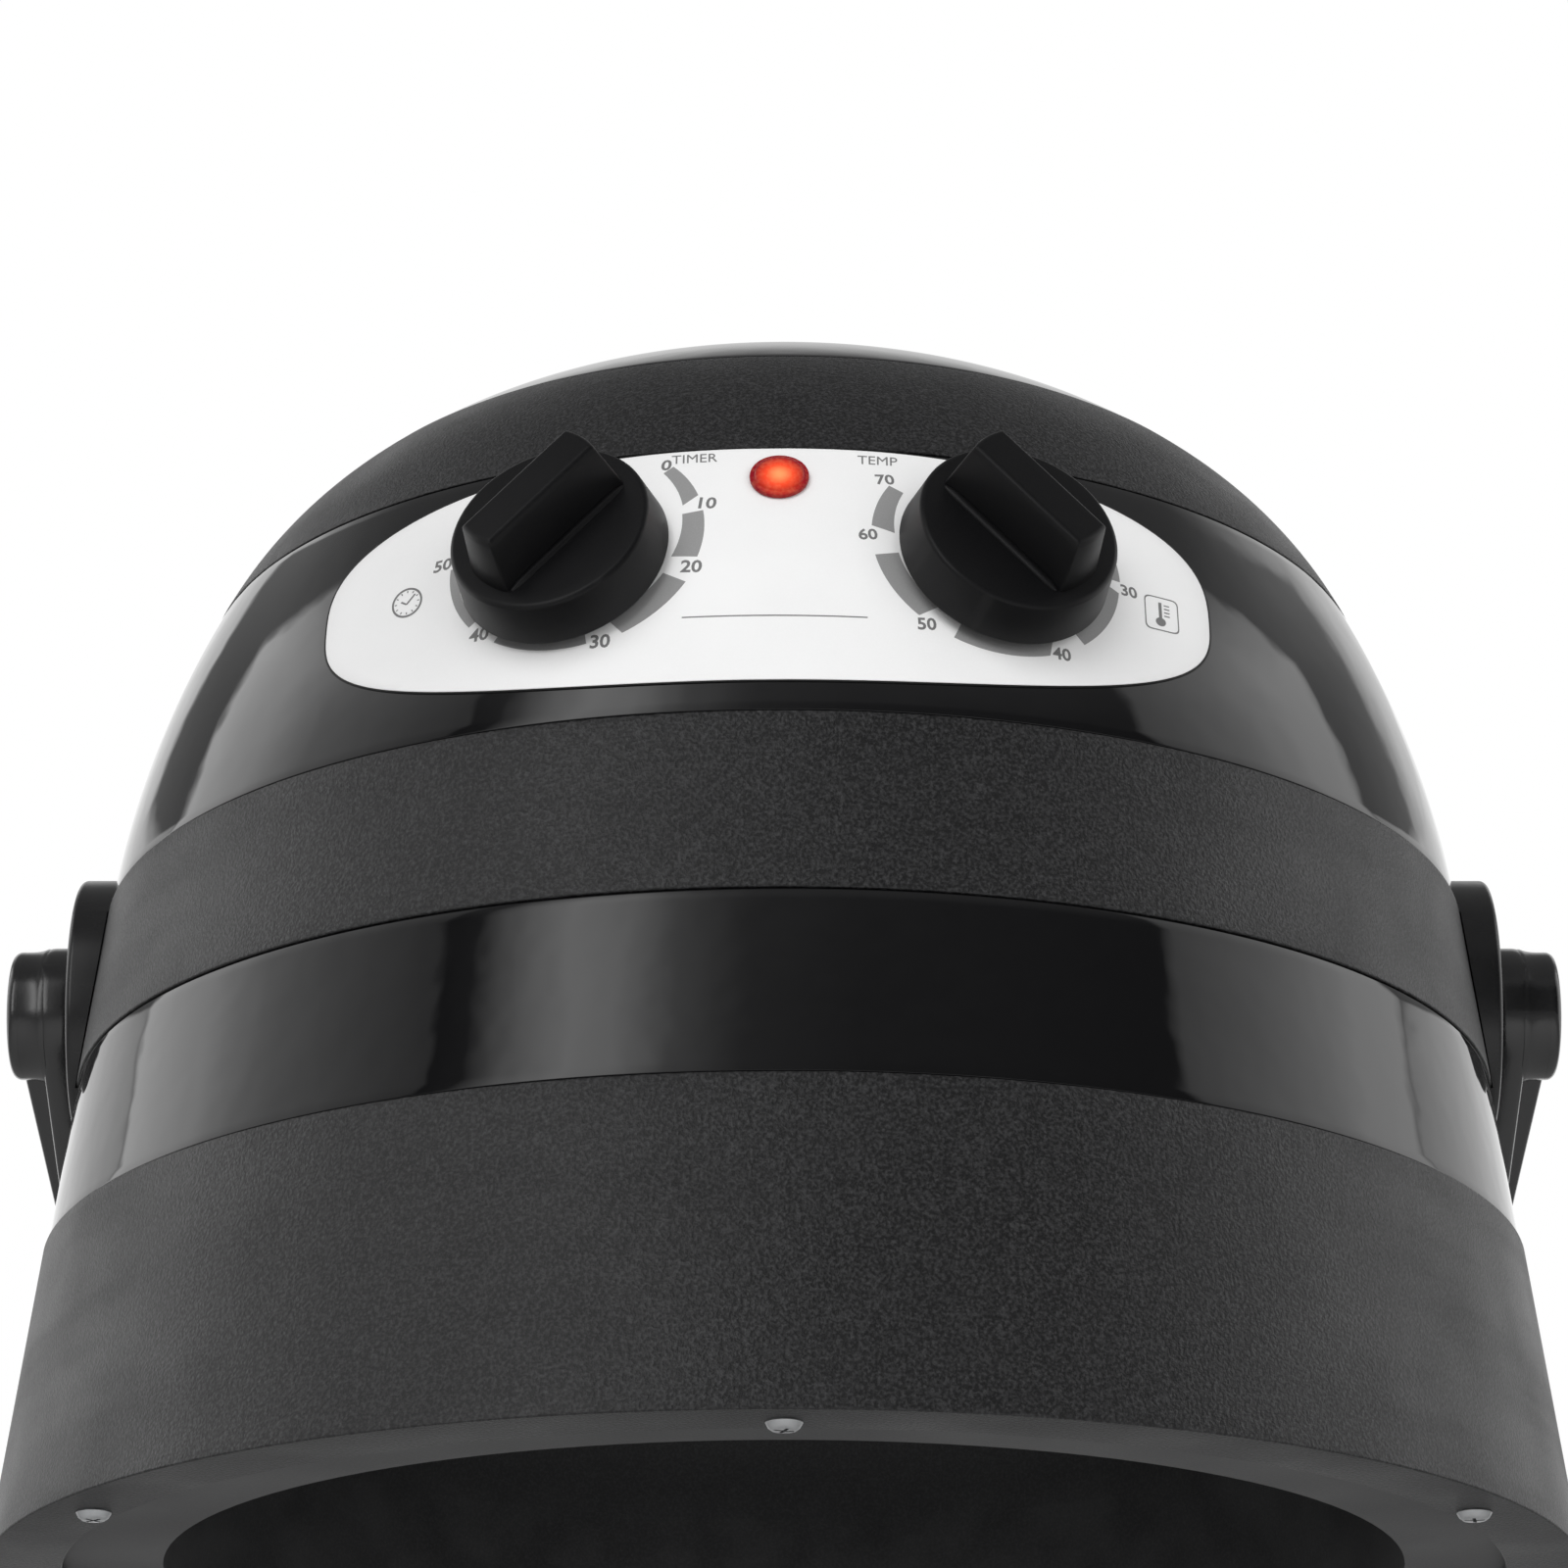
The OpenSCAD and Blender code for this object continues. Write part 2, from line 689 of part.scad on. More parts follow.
module heater_frame() {
    color("#d9cfae") at_hood() {
        translate([0, 0, frame_low]) difference() {
            cylinder(r = coil_radius + frame_reach, h = frame_wall, $fn = round_fn);
            translate([0, 0, -1])
                cylinder(r = motor_radius + frame_reach / 2, h = frame_wall + 2, $fn = round_fn);
        }
        difference() {
            for (i = [0 : 3])
                rotate([0, 0, 45 + i * 90])
                    translate([coil_radius - frame_reach + 1, -frame_wall / 2, frame_low + frame_wall / 2])
                        cube([2 * (frame_reach - 1), frame_wall, deck_z - frame_low - frame_wall / 2]);
            for (k = [0, 1])
                translate([0, 0, coil_low + k * coil_pitch])
                    rotate_extrude($fn = ring_fn)
                        translate([coil_radius, 0]) circle(r = coil_wire + run_gap, $fn = 24);
        }
    }
}

module heater_coil() {
    color("#a8572f") at_hood()
        for (k = [0, 1])
            translate([0, 0, coil_low + k * coil_pitch])
                rotate_extrude($fn = ring_fn)
                    translate([coil_radius, 0]) circle(r = coil_wire, $fn = 24);
}

module thermal_cutout() {
    tab = cutout_radius * 1.5;
    color("#c9c9cc") at_hood()
        translate([0, (motor_radius + coil_radius + frame_reach) / 2, frame_low - cutout_height]) {
            cylinder(r = cutout_radius, h = cutout_height, $fn = round_fn);
            translate([-tab, -cutout_radius / 2, cutout_height - 1]) cube([tab * 2, cutout_radius, 1]);
        }
}

module terminal_block() {
    rear_gap = (floor(deck_slots / 4) + 0.5) * 360 / deck_slots;
    color("#e8e6df") at_hood() rotate([0, 0, rear_gap])
        translate([coil_radius + frame_reach + 2, -block_length / 2, deck_z - block_height])
            difference() {
                cube([block_width, block_length, block_height]);
                for (part = [1, 3]) translate([block_width / 2, block_length * part / 4, -1])
                    cylinder(r = 2, h = block_height / 2, $fn = 24);
            }
}

// ---------- controls ----------

module switch_body(azimuth) {
    on_shell(azimuth, knob_height) difference() {
        union() {
            translate([-switch_width / 2, -switch_width / 2, -ring_wall * 2 - switch_depth])
                cube([switch_width, switch_width, switch_depth]);
            translate([0, 0, -ring_wall * 2 - 1])
                cylinder(r = spindle_radius + 1.8, h = ring_wall * 2 + 1 + knob_gap / 4, $fn = round_fn);
        }
        translate([0, 0, -ring_wall * 2 - switch_depth / 2])
            cylinder(r = spindle_radius + run_gap, h = far / 4, $fn = round_fn);
    }
}

module timer_body() {
    color("#dcdad2") switch_body(-knob_azimuth);
}

module thermostat_body() {
    color("#c9c9cc") switch_body(knob_azimuth);
}

module spindle(azimuth) {
    low = -ring_wall * 2 - switch_depth / 2 + 1;
    on_shell(azimuth, knob_height) translate([0, 0, low])
        cylinder(r = spindle_radius, h = knob_gap + knob_skirt - 2 - low, $fn = round_fn);
}

module timer_spindle() {
    color("#c9c9cc") spindle(-knob_azimuth);
}

module temp_spindle() {
    color("#c9c9cc") spindle(knob_azimuth);
}

// The grip seen from its end, from a little below the skirt's top
module grip_end() {
    polygon([[-grip_width / 2, -1], [grip_width / 2, -1], [grip_width / 2, 0],
        [(grip_width - grip_taper) / 2, grip_height], [-(grip_width - grip_taper) / 2, grip_height],
        [-grip_width / 2, 0]]);
}

// A bar with leaning sides, rounded off at both ends by the cone it is cut from
module grip() {
    intersection() {
        translate([0, 0, -1]) cylinder(r1 = (grip_length + grip_slope / grip_height) / 2,
            r2 = (grip_length - grip_slope) / 2, h = grip_height + 1, $fn = ring_fn);
        rotate([90, 0, 90]) linear_extrude(height = far / 4, center = true) grip_end();
    }
    for (side = [-1, 1]) translate([0, side * grip_width / 2, 0]) rotate([0, 90, 0])
        cylinder(r = grip_bead, h = grip_length * 0.86, center = true, $fn = 32);
}

module knob(azimuth, turn) {
    on_shell(azimuth, knob_height) translate([0, 0, knob_gap]) difference() {
        union() {
            cylinder(r1 = knob_radius, r2 = knob_radius - knob_taper, h = knob_skirt, $fn = ring_fn);
            translate([0, 0, knob_skirt]) rotate([0, 0, turn]) grip();
        }
        translate([0, 0, -1])
            cylinder(r = spindle_radius + run_gap, h = knob_skirt, $fn = round_fn);
    }
}

module timer_knob() {
    color("#161617") knob(-knob_azimuth, grip_turn);
}

module temp_knob() {
    color("#161617") knob(knob_azimuth, 180 - grip_turn);
}

// Point of the panel's outline at an angle: two half curves of different height
function panel_point(t) = [
    -panel_shift + panel_half * sign(cos(t)) * pow(abs(cos(t)), 2 / panel_power),
    panel_mid + (sin(t) > 0 ? shoulder_low - seat_gap - panel_mid : panel_drop)
        * sign(sin(t)) * pow(abs(sin(t)), 2 / panel_power)
];

module control_panel() {
    color("#ededee") difference() {
        at_hood() intersection() {
            rotate_extrude($fn = ring_fn)
                wall_slice(band_top + 1, shoulder_low, panel_wall + run_gap, run_gap);
            rotate([90, 0, 0]) linear_extrude(height = far / 2)
                polygon([for (i = [0 : 47]) panel_point(i * 7.5 + 3.75)]);
        }
        for (side = [-1, 1]) knob_hole(side * knob_azimuth);
        on_shell(lamp_azimuth, lamp_height)
            translate([0, 0, -ring_wall])
                cylinder(r = lamp_radius - 0.9, h = ring_wall * 2, $fn = round_fn);
    }
}

module lamp_lens() {
    stem = lamp_radius - 1.2;
    color("#e0451c") on_shell(lamp_azimuth, lamp_height) {
        translate([0, 0, -2]) cylinder(r = stem, h = 3, $fn = round_fn);
        translate([0, 0, panel_wall + 0.1]) cylinder(r = lamp_radius, h = 1.2, $fn = round_fn);
        translate([0, 0, panel_wall + 1.3]) cylinder(r1 = lamp_radius - 0.8, r2 = stem - 1.6, h = 1.6,
            $fn = round_fn);
    }
}

module lamp_body() {
    color("#e8e6df") on_shell(lamp_azimuth, lamp_height) {
        translate([0, 0, -18]) cylinder(r = lamp_radius - 1.2, h = 16, $fn = round_fn);
        translate([0, 0, -ring_wall - lip_gap - lip_wall - 3.2])
            cylinder(r = lamp_radius + 2, h = 2, $fn = 6);
    }
}

gland_stem = cord_bore + gland_wall;

// Local z points out of the hood's back
module at_gland() {
    at_hood() translate([0, radius_at(gland_height), gland_height]) rotate([-90, 0, 0]) children();
}

module cord_gland() {
    flange = gland_stem + gland_flange;
    color("#161617") difference() {
        union() {
            at_gland() {
                translate([0, 0, -gland_sink])
                    cylinder(r = gland_stem, h = gland_sink + gland_plate, $fn = round_fn);
                translate([0, 0, gland_plate * 2])
                    cylinder(r1 = flange - 0.6, r2 = gland_stem, h = gland_reach - gland_plate * 2,
                        $fn = round_fn);
            }
            difference() {
                at_gland() translate([0, 0, -gland_plate * 2])
                    cylinder(r = flange, h = gland_plate * 4, $fn = round_fn);
                hood_envelope();
            }
        }
        at_gland() translate([0, 0, -gland_sink - 1])
            cylinder(r = cord_bore, h = gland_sink + gland_reach + 2, $fn = round_fn);
    }
}

// ---------- pivots and yoke ----------

module hood_envelope() {
    at_hood() rotate_extrude($fn = ring_fn) intersection() {
        union() {
            polygon(concat([[0, rim_low - 20]], outline(run_gap)));
            intersection() {
                polygon(concat([[0, rim_low - 20]], outline(ring_proud + run_gap)));
                translate([0, band_low - run_gap]) square([far, band_top - band_low + run_gap * 2]);
            }
        }
        translate([0, rim_low]) square([far, far]);
    }
}

module pivot_pad(side) {
    difference() {
        union() {
            difference() {
                at_pivot(side) {
                    translate([0, 0, pad_face - sleeve_length])
                        cylinder(r = pad_radius, h = sleeve_length - 1, $fn = ring_fn);
                    translate([0, 0, pad_face - 1])
                        cylinder(r1 = pad_radius, r2 = pad_radius - 1, h = 1, $fn = ring_fn);
                }
                hood_envelope();
            }
            at_pivot(side) translate([0, 0, pad_face - sleeve_length])
                cylinder(r = sleeve_radius, h = sleeve_length - 1, $fn = round_fn);
        }
        at_pivot(side) translate([0, 0, pad_face - sleeve_length - 1])
            cylinder(r = bolt_radius + run_gap, h = sleeve_length + 2, $fn = round_fn);
    }
}

module pivot_pad_left() {
    color("#1b1b1d") pivot_pad(-1);
}

module pivot_pad_right() {
    color("#1b1b1d") pivot_pad(1);
}

module pivot_washers() {
    color("#4b4b4d") for (side = [-1, 1]) at_pivot(side)
        translate([0, 0, pad_face + seat_gap]) difference() {
            cylinder(r = sleeve_radius + 2, h = washer_wall, $fn = round_fn);
            translate([0, 0, -1]) cylinder(r = bolt_radius + run_gap, h = washer_wall + 2, $fn = round_fn);
        }
}

head_radius = bolt_radius + 3.5;
head_height = boss_length - 1.4;
nut_height = 7;

module pivot_bolts() {
    tip = pad_face - sleeve_length - seat_gap - nut_height - 1;
    color("#b9bcc0") for (side = [-1, 1]) at_pivot(side) {
        translate([0, 0, tip]) cylinder(r = bolt_radius, h = arm_out + 1 - tip, $fn = round_fn);
        translate([0, 0, arm_out + 1]) cylinder(r = head_radius, h = head_height, $fn = round_fn);
    }
}

module pivot_nuts() {
    color("#b9bcc0") for (side = [-1, 1]) at_pivot(side)
        translate([0, 0, pad_face - sleeve_length - seat_gap - nut_height]) difference() {
            cylinder(r = bolt_radius * 1.7, h = nut_height, $fn = 6);
            translate([0, 0, -1]) cylinder(r = bolt_radius + run_gap, h = nut_height + 2, $fn = round_fn);
        }
}

module pivot_caps() {
    edge = 1.4;
    color("#161617") for (side = [-1, 1]) at_pivot(side) translate([0, 0, arm_out + boss_length])
        rotate_extrude($fn = ring_fn) {
            square([boss_radius - edge, cap_wall]);
            square([boss_radius, cap_wall - edge]);
            translate([boss_radius - edge, cap_wall - edge]) intersection() {
                circle(r = edge, $fn = 32);
                square([edge, edge]);
            }
        }
}

// The arm from the pivot to the hub, seen square to the yoke's plane
module arm_plan(side, foot, grow) {
    intersection() {
        union() {
            translate([side > 0 ? arm_in - grow : -arm_out - grow, -arm_end - 1])
                square([arm_wall + grow * 2, arm_straight + arm_end + 1]);
            translate([0, arm_straight]) difference() {
                circle(r = arm_out + grow, $fn = ring_fn);
                circle(r = arm_in - grow, $fn = ring_fn);
                translate([-far, -far * 2]) square([far * 2, far * 2]);
            }
        }
        translate([side > 0 ? foot : -far - foot, -far]) square([far, far * 3]);
    }
}

// The arm seen from its side: round end, then narrowing to its width at the bend
module arm_side(grow) {
    circle(r = arm_end + grow, $fn = ring_fn);
    polygon([[0, arm_end + grow], [arm_straight, arm_width / 2 + grow], [far, arm_width / 2 + grow],
        [far, -arm_width / 2 - grow], [arm_straight, -arm_width / 2 - grow], [0, -arm_end - grow]]);
}

module arm_form(side, foot, grow) {
    intersection() {
        linear_extrude(height = far / 4, center = true) arm_plan(side, foot, grow);
        rotate([0, 90, 0]) rotate([0, 0, 90]) linear_extrude(height = far * 2, center = true)
            arm_side(grow);
    }
}

hub_screw_x = (arm_foot + hub_half) / 2 + 1;
hub_screw_radius = 3;

module at_hub_screws() {
    in_yoke() for (side = [-1, 1]) translate([side * hub_screw_x, yoke_reach, 0]) children();
}

module yoke_arm(side) {
    difference() {
        union() {
            in_yoke() {
                arm_form(side, arm_foot, 0);
                translate([0, 0, -rib_width / 2]) linear_extrude(height = rib_width)
                    polygon([[side * (arm_out - 1), 0], [side * (arm_out + boss_length), 0],
                        [side * (arm_out + boss_length), boss_radius - 4],
                        [side * arm_out, rib_length], [side * (arm_out - 1), rib_length]]);
            }
            at_pivot(side) translate([0, 0, arm_out - 1])
                cylinder(r = boss_radius, h = boss_length + 1, $fn = ring_fn);
        }
        at_pivot(side) {
            translate([0, 0, arm_in - 1])
                cylinder(r = bolt_radius + run_gap, h = arm_wall + boss_length, $fn = round_fn);
            translate([0, 0, arm_out + 1])
                cylinder(r = head_radius + 0.3, h = boss_length, $fn = round_fn);
        }
        at_hub_screws() cylinder(r = hub_screw_radius + run_gap, h = far / 4, center = true, $fn = 32);
    }
}

module yoke_arm_left() {
    color("#161617") yoke_arm(-1);
}

module yoke_arm_right() {
    color("#161617") yoke_arm(1);
}

hub_wide = arm_width + 9;
hub_deep = arm_wall + 20;
barrel_low = -34;
barrel_high = hub_wide / 2 * cos(yoke_drop) + hub_deep / 2 * sin(yoke_drop) + 0.5;

module yoke_hub() {
    color("#161617") difference() {
        union() {
            in_yoke() translate([-hub_half, yoke_reach - hub_deep / 2, -hub_wide / 2])
                cube([hub_half * 2, hub_deep, hub_wide]);
            translate([0, 0, hub_z + barrel_low])
                cylinder(r = barrel_radius, h = barrel_high - barrel_low, $fn = ring_fn);
        }
        translate([0, 0, hub_z + barrel_low - 1])
            cylinder(r = spigot_radius + run_gap, h = barrel_high - barrel_low + 2, $fn = round_fn);
        in_yoke() for (side = [-1, 1]) arm_form(side, arm_foot - 0.5, socket_gap);
        at_hub_screws() {
            translate([0, 0, -hub_wide / 2 - 1])
                cylinder(r = hub_screw_radius + run_gap, h = hub_wide - 3, $fn = 32);
            translate([0, 0, -hub_wide / 2 - 1]) cylinder(r = 5.6, h = 4, $fn = 32);
        }
    }
}

module hub_screws() {
    color("#8b8b8f") at_hub_screws() {
        translate([0, 0, -hub_wide / 2 + 3])
            cylinder(r = hub_screw_radius, h = hub_wide - 8, $fn = 32);
        translate([0, 0, -hub_wide / 2]) cylinder(r = 5.4, h = 3, $fn = 32);
    }
}

module hub_cap() {
    color("#161617") translate([0, 0, hub_z + barrel_high]) {
        cylinder(r = barrel_radius, h = 2, $fn = ring_fn);
        translate([0, 0, 2])
            cylinder(r1 = barrel_radius, r2 = barrel_radius - 2.5, h = 2, $fn = ring_fn);
    }
}

// ---------- pole ----------

spigot_collar = 8;
spigot_sink = 30;
spigot_ledge = 4;
foot_length = 14;
foot_sink = 16;
foot_gap = 0.15;
upper_top = hub_z + barrel_low - seat_gap - spigot_collar;

module tube(outer, wall, low, high) {
    translate([0, 0, low]) difference() {
        cylinder(r = outer, h = high - low, $fn = ring_fn);
        translate([0, 0, -1]) cylinder(r = outer - wall, h = high - low + 2, $fn = ring_fn);
    }
}

module pole_upper() {
    color("#c3c5c9") tube(upper_radius, tube_wall, upper_low, upper_top);
}

module pole_spigot() {
    color("#161617") {
        translate([0, 0, upper_top - spigot_sink])
            cylinder(r = upper_radius - tube_wall - run_gap, h = spigot_sink, $fn = ring_fn);
        translate([0, 0, upper_top])
            cylinder(r = upper_radius + spigot_ledge, h = spigot_collar, $fn = ring_fn);
        translate([0, 0, upper_top + spigot_collar])
            cylinder(r = spigot_radius, h = barrel_high - barrel_low - 0.5, $fn = ring_fn);
    }
}

module pole_foot() {
    color("#161617") {
        translate([0, 0, upper_low - foot_length])
            cylinder(r = lower_radius - tube_wall - foot_gap, h = foot_length, $fn = ring_fn);
        translate([0, 0, upper_low])
            cylinder(r = upper_radius - tube_wall - run_gap, h = foot_sink, $fn = ring_fn);
    }
}

clamp_z = lower_top - collar_length / 2;

module clamp_cut(radius) {
    translate([0, 0, clamp_z]) rotate([-90, 0, 0]) cylinder(r = radius, h = far, $fn = 32);
}

module pole_lower() {
    color("#c3c5c9") difference() {
        tube(lower_radius, tube_wall, leg_low + hub_floor, lower_top);
        clamp_cut(clamp_radius + seat_gap);
    }
}

bush_length = collar_length + 12;

module tube_bush() {
    color("#e8e6df") difference() {
        union() {
            translate([0, 0, lower_top - bush_length])
                cylinder(r = lower_radius - tube_wall - run_gap, h = bush_length, $fn = ring_fn);
            translate([0, 0, lower_top]) cylinder(r = lower_radius, h = 2, $fn = ring_fn);
        }
        translate([0, 0, lower_top - bush_length - 1])
            cylinder(r = upper_radius + run_gap, h = bush_length + 4, $fn = ring_fn);
        clamp_cut(clamp_radius + seat_gap);
    }
}

clamp_boss = 12;
clamp_wall = 5;
lid_height = 8;
lid_edge = 4;

module height_collar() {
    color("#161617") difference() {
        union() {
            translate([0, 0, lower_top - collar_length])
                cylinder(r = collar_radius, h = collar_length + lid_height, $fn = ring_fn);
            translate([0, 0, lower_top + lid_height])
                cylinder(r1 = collar_radius, r2 = collar_radius - lid_edge, h = lid_edge, $fn = ring_fn);
            translate([0, 0, clamp_z]) rotate([-90, 0, 0])
                cylinder(r = clamp_radius + clamp_wall, h = collar_radius + clamp_boss, $fn = round_fn);
        }
        translate([0, 0, lower_top - collar_length - 1])
            cylinder(r = lower_radius + run_gap, h = collar_length + 3 + run_gap, $fn = ring_fn);
        translate([0, 0, lower_top])
            cylinder(r = upper_radius + seat_gap, h = far, $fn = ring_fn);
        clamp_cut(clamp_radius + run_gap);
    }
}

knob_thick = 14;
lobe_radius = 5;

module height_knob() {
    color("#161617") translate([0, 0, clamp_z]) rotate([-90, 0, 0]) {
        translate([0, 0, upper_radius + seat_gap])
            cylinder(r = clamp_radius, h = collar_radius + clamp_boss + 3 - upper_radius, $fn = 32);
        translate([0, 0, collar_radius + clamp_boss + seat_gap]) {
            cylinder(r = height_knob_radius - lobe_radius + 1, h = knob_thick, $fn = round_fn);
            for (i = [0 : height_knob_lobes - 1])
                rotate([0, 0, i * 360 / height_knob_lobes])
                    translate([height_knob_radius - lobe_radius, 0, 0])
                        cylinder(r = lobe_radius, h = knob_thick, $fn = 32);
        }
    }
}

// ---------- base ----------

module base_hub() {
    socket = lower_radius + socket_wall;
    color("#c3c5c9") translate([0, 0, leg_low]) difference() {
        union() {
            rotate([0, 0, -90 + leg_angle / 2])
                cylinder(r = hub_flat / cos(leg_angle / 2), h = leg_root, $fn = leg_count);
            rotate_extrude($fn = ring_fn)
                polygon([[0, leg_root / 2], [hub_flat - hub_ledge, leg_root / 2],
                    [hub_flat - hub_ledge, leg_root + hub_step], [socket, leg_root + hub_cone],
                    [socket, leg_root + socket_height], [0, leg_root + socket_height]]);
        }
        translate([0, 0, hub_floor]) cylinder(r = lower_radius + run_gap, h = far, $fn = ring_fn);
    }
}

module leg() {
    difference() {
        intersection() {
            rotate([90, 0, 0]) linear_extrude(height = leg_root_width * 2, center = true)
                polygon([[hub_flat, leg_low], [base_radius + leg_tip_width, leg_low],
                    [base_radius + leg_tip_width, leg_low + leg_tip - 3],
                    [base_radius + leg_tip_width / 2 - 3, leg_low + leg_tip],
                    [base_radius - leg_tip_width / 2, leg_low + leg_tip],
                    [hub_flat, leg_low + leg_root]]);
            linear_extrude(height = far) {
                polygon([[hub_flat, -leg_root_width / 2], [base_radius, -leg_tip_width / 2],
                    [base_radius, leg_tip_width / 2], [hub_flat, leg_root_width / 2]]);
                translate([base_radius, 0]) circle(r = leg_tip_width / 2, $fn = round_fn);
            }
        }
        translate([base_radius, 0, leg_low - 1])
            cylinder(r = stem_radius + run_gap, h = stem_length + 2, $fn = round_fn);
    }
}

module base_legs() {
    color("#c3c5c9") for (i = [1 : leg_count]) at_leg(i) leg();
}

// ---------- castors ----------

cover_radius = wheel_radius + 2 + cover_wall;
plate_top = leg_low - seat_gap;

module castor_fork() {
    half = web_wall / 2 + wheel_width + 1;
    difference() {
        union() {
            translate([0, 0, plate_top - 4]) cylinder(r = stem_radius + 6, h = 4, $fn = round_fn);
            translate([0, 0, plate_top - 1])
                cylinder(r = stem_radius, h = stem_length + seat_gap + 1, $fn = round_fn);
            translate([0, castor_trail, wheel_radius]) rotate([0, 90, 0])
                cylinder(r = wheel_radius - 4, h = web_wall, center = true, $fn = round_fn);
            translate([-web_wall / 2, -stem_radius, wheel_radius + 4])
                cube([web_wall, castor_trail + stem_radius, plate_top - 3 - wheel_radius - 4]);
            translate([0, castor_trail, wheel_radius]) rotate([0, 90, 0]) intersection() {
                difference() {
                    cylinder(r = cover_radius, h = half * 2, center = true, $fn = ring_fn);
                    cylinder(r = cover_radius - cover_wall, h = half * 2 + 2, center = true, $fn = ring_fn);
                }
                rotate([0, 0, 20]) translate([-far, -far / 2, -far / 2]) cube([far, far, far]);
            }
            translate([0, castor_trail, wheel_radius]) rotate([0, 90, 0]) intersection() {
                cylinder(r = cover_radius - cover_wall / 2, h = web_wall, center = true, $fn = ring_fn);
                rotate([0, 0, 20]) translate([-far, -far / 2, -far / 2]) cube([far, far, far]);
            }
        }
        translate([0, castor_trail, wheel_radius]) rotate([0, 90, 0])
            cylinder(r = 4 + run_gap, h = far / 4, center = true, $fn = round_fn);
        translate([0, 0, plate_top]) difference() {
            cylinder(r = far / 4, h = far);
            translate([0, 0, -1]) cylinder(r = stem_radius, h = far + 2, $fn = round_fn);
        }
    }
}

module wheel_form() {
    half = web_wall / 2 + 0.4;
    bevel = 2;
    translate([0, 0, half]) rotate_extrude($fn = ring_fn)
        polygon([[0, 0], [wheel_radius - 1, 0], [wheel_radius, 1], [wheel_radius, wheel_width - bevel],
            [wheel_radius - bevel, wheel_width], [wheel_radius - 7, wheel_width],
            [wheel_radius - 9, wheel_width - 2], [0, wheel_width - 1]]);
}

module castor_wheels() {
    translate([0, castor_trail, wheel_radius]) {
        for (side = [-1, 1]) rotate([0, side * 90, 0]) wheel_form();
        rotate([0, 90, 0]) cylinder(r = 4, h = web_wall + 2, center = true, $fn = round_fn);
    }
}

module fork_at(i) {
    color("#161617") at_castor(i) castor_fork();
}

module wheels_at(i) {
    color("#2c2c2e") at_castor(i) castor_wheels();
}

crown_cap();
intake_grille();
shoulder_ring();
control_shell();
pivot_band();
lower_shell();
skirt_ring();
inner_shell();
inner_wall();
air_diffuser();
air_deck();
motor_body();
heater_frame();
heater_coil();
thermal_cutout();
timer_body();
thermostat_body();
control_panel();
lamp_lens();
lamp_body();
terminal_block();
cord_gland();
pivot_pad_left();
pivot_pad_right();
rim_screws();
fan_wheel();
fan_shaft();
timer_knob();
timer_spindle();
temp_knob();
temp_spindle();
yoke_arm_left();
yoke_arm_right();
yoke_hub();
hub_cap();
hub_screws();
pivot_bolts();
pivot_nuts();
pivot_washers();
pivot_caps();
pole_upper();
pole_spigot();
pole_foot();
pole_lower();
tube_bush();
height_collar();
height_knob();
base_hub();
base_legs();
fork_at(1);  // castor_fork_1
fork_at(2);  // castor_fork_2
fork_at(3);  // castor_fork_3
fork_at(4);  // castor_fork_4
fork_at(5);  // castor_fork_5
wheels_at(1);  // castor_wheels_1
wheels_at(2);  // castor_wheels_2
wheels_at(3);  // castor_wheels_3
wheels_at(4);  // castor_wheels_4
wheels_at(5);  // castor_wheels_5
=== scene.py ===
"""A hood hair dryer on a wheeled stand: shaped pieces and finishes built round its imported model."""

import logging
from dataclasses import dataclass
from enum import Enum
from math import acos, asin, ceil, copysign, cos, degrees, hypot, pi, radians, sin, sqrt, tan
from typing import Callable, Optional, Sequence

import bmesh
import bpy
from mathutils import Matrix, Vector


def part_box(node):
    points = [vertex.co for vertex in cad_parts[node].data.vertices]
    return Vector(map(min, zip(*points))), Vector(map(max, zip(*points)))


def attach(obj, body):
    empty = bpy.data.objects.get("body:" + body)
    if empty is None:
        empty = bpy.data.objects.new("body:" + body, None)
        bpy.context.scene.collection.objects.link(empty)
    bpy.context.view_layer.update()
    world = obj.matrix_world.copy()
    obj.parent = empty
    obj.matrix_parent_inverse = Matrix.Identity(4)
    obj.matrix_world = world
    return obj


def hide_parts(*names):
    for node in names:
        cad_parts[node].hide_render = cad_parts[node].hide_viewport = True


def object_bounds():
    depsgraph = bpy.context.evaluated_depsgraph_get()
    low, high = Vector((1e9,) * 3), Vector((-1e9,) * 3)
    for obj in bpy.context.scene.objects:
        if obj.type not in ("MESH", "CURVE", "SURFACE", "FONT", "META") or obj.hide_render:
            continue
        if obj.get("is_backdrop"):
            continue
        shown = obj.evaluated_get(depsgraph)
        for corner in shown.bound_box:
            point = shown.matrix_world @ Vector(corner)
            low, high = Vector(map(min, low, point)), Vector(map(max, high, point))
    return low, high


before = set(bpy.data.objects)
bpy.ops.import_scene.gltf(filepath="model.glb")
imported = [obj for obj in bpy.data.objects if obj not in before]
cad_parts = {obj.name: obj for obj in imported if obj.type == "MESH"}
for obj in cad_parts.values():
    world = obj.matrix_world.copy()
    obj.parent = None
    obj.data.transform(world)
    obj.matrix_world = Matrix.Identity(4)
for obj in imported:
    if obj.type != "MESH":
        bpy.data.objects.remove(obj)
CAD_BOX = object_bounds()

logging.basicConfig(level=logging.INFO, format="%(levelname)s %(message)s")
LOG = logging.getLogger("hood_dryer")

MM = 0.001

Flat = tuple[float, float]
Profile = list[Flat]
Triple = tuple[float, float, float]
Colour = Triple
Object = bpy.types.Object
Material = bpy.types.Material
Node = bpy.types.Node
Socket = bpy.types.NodeSocket

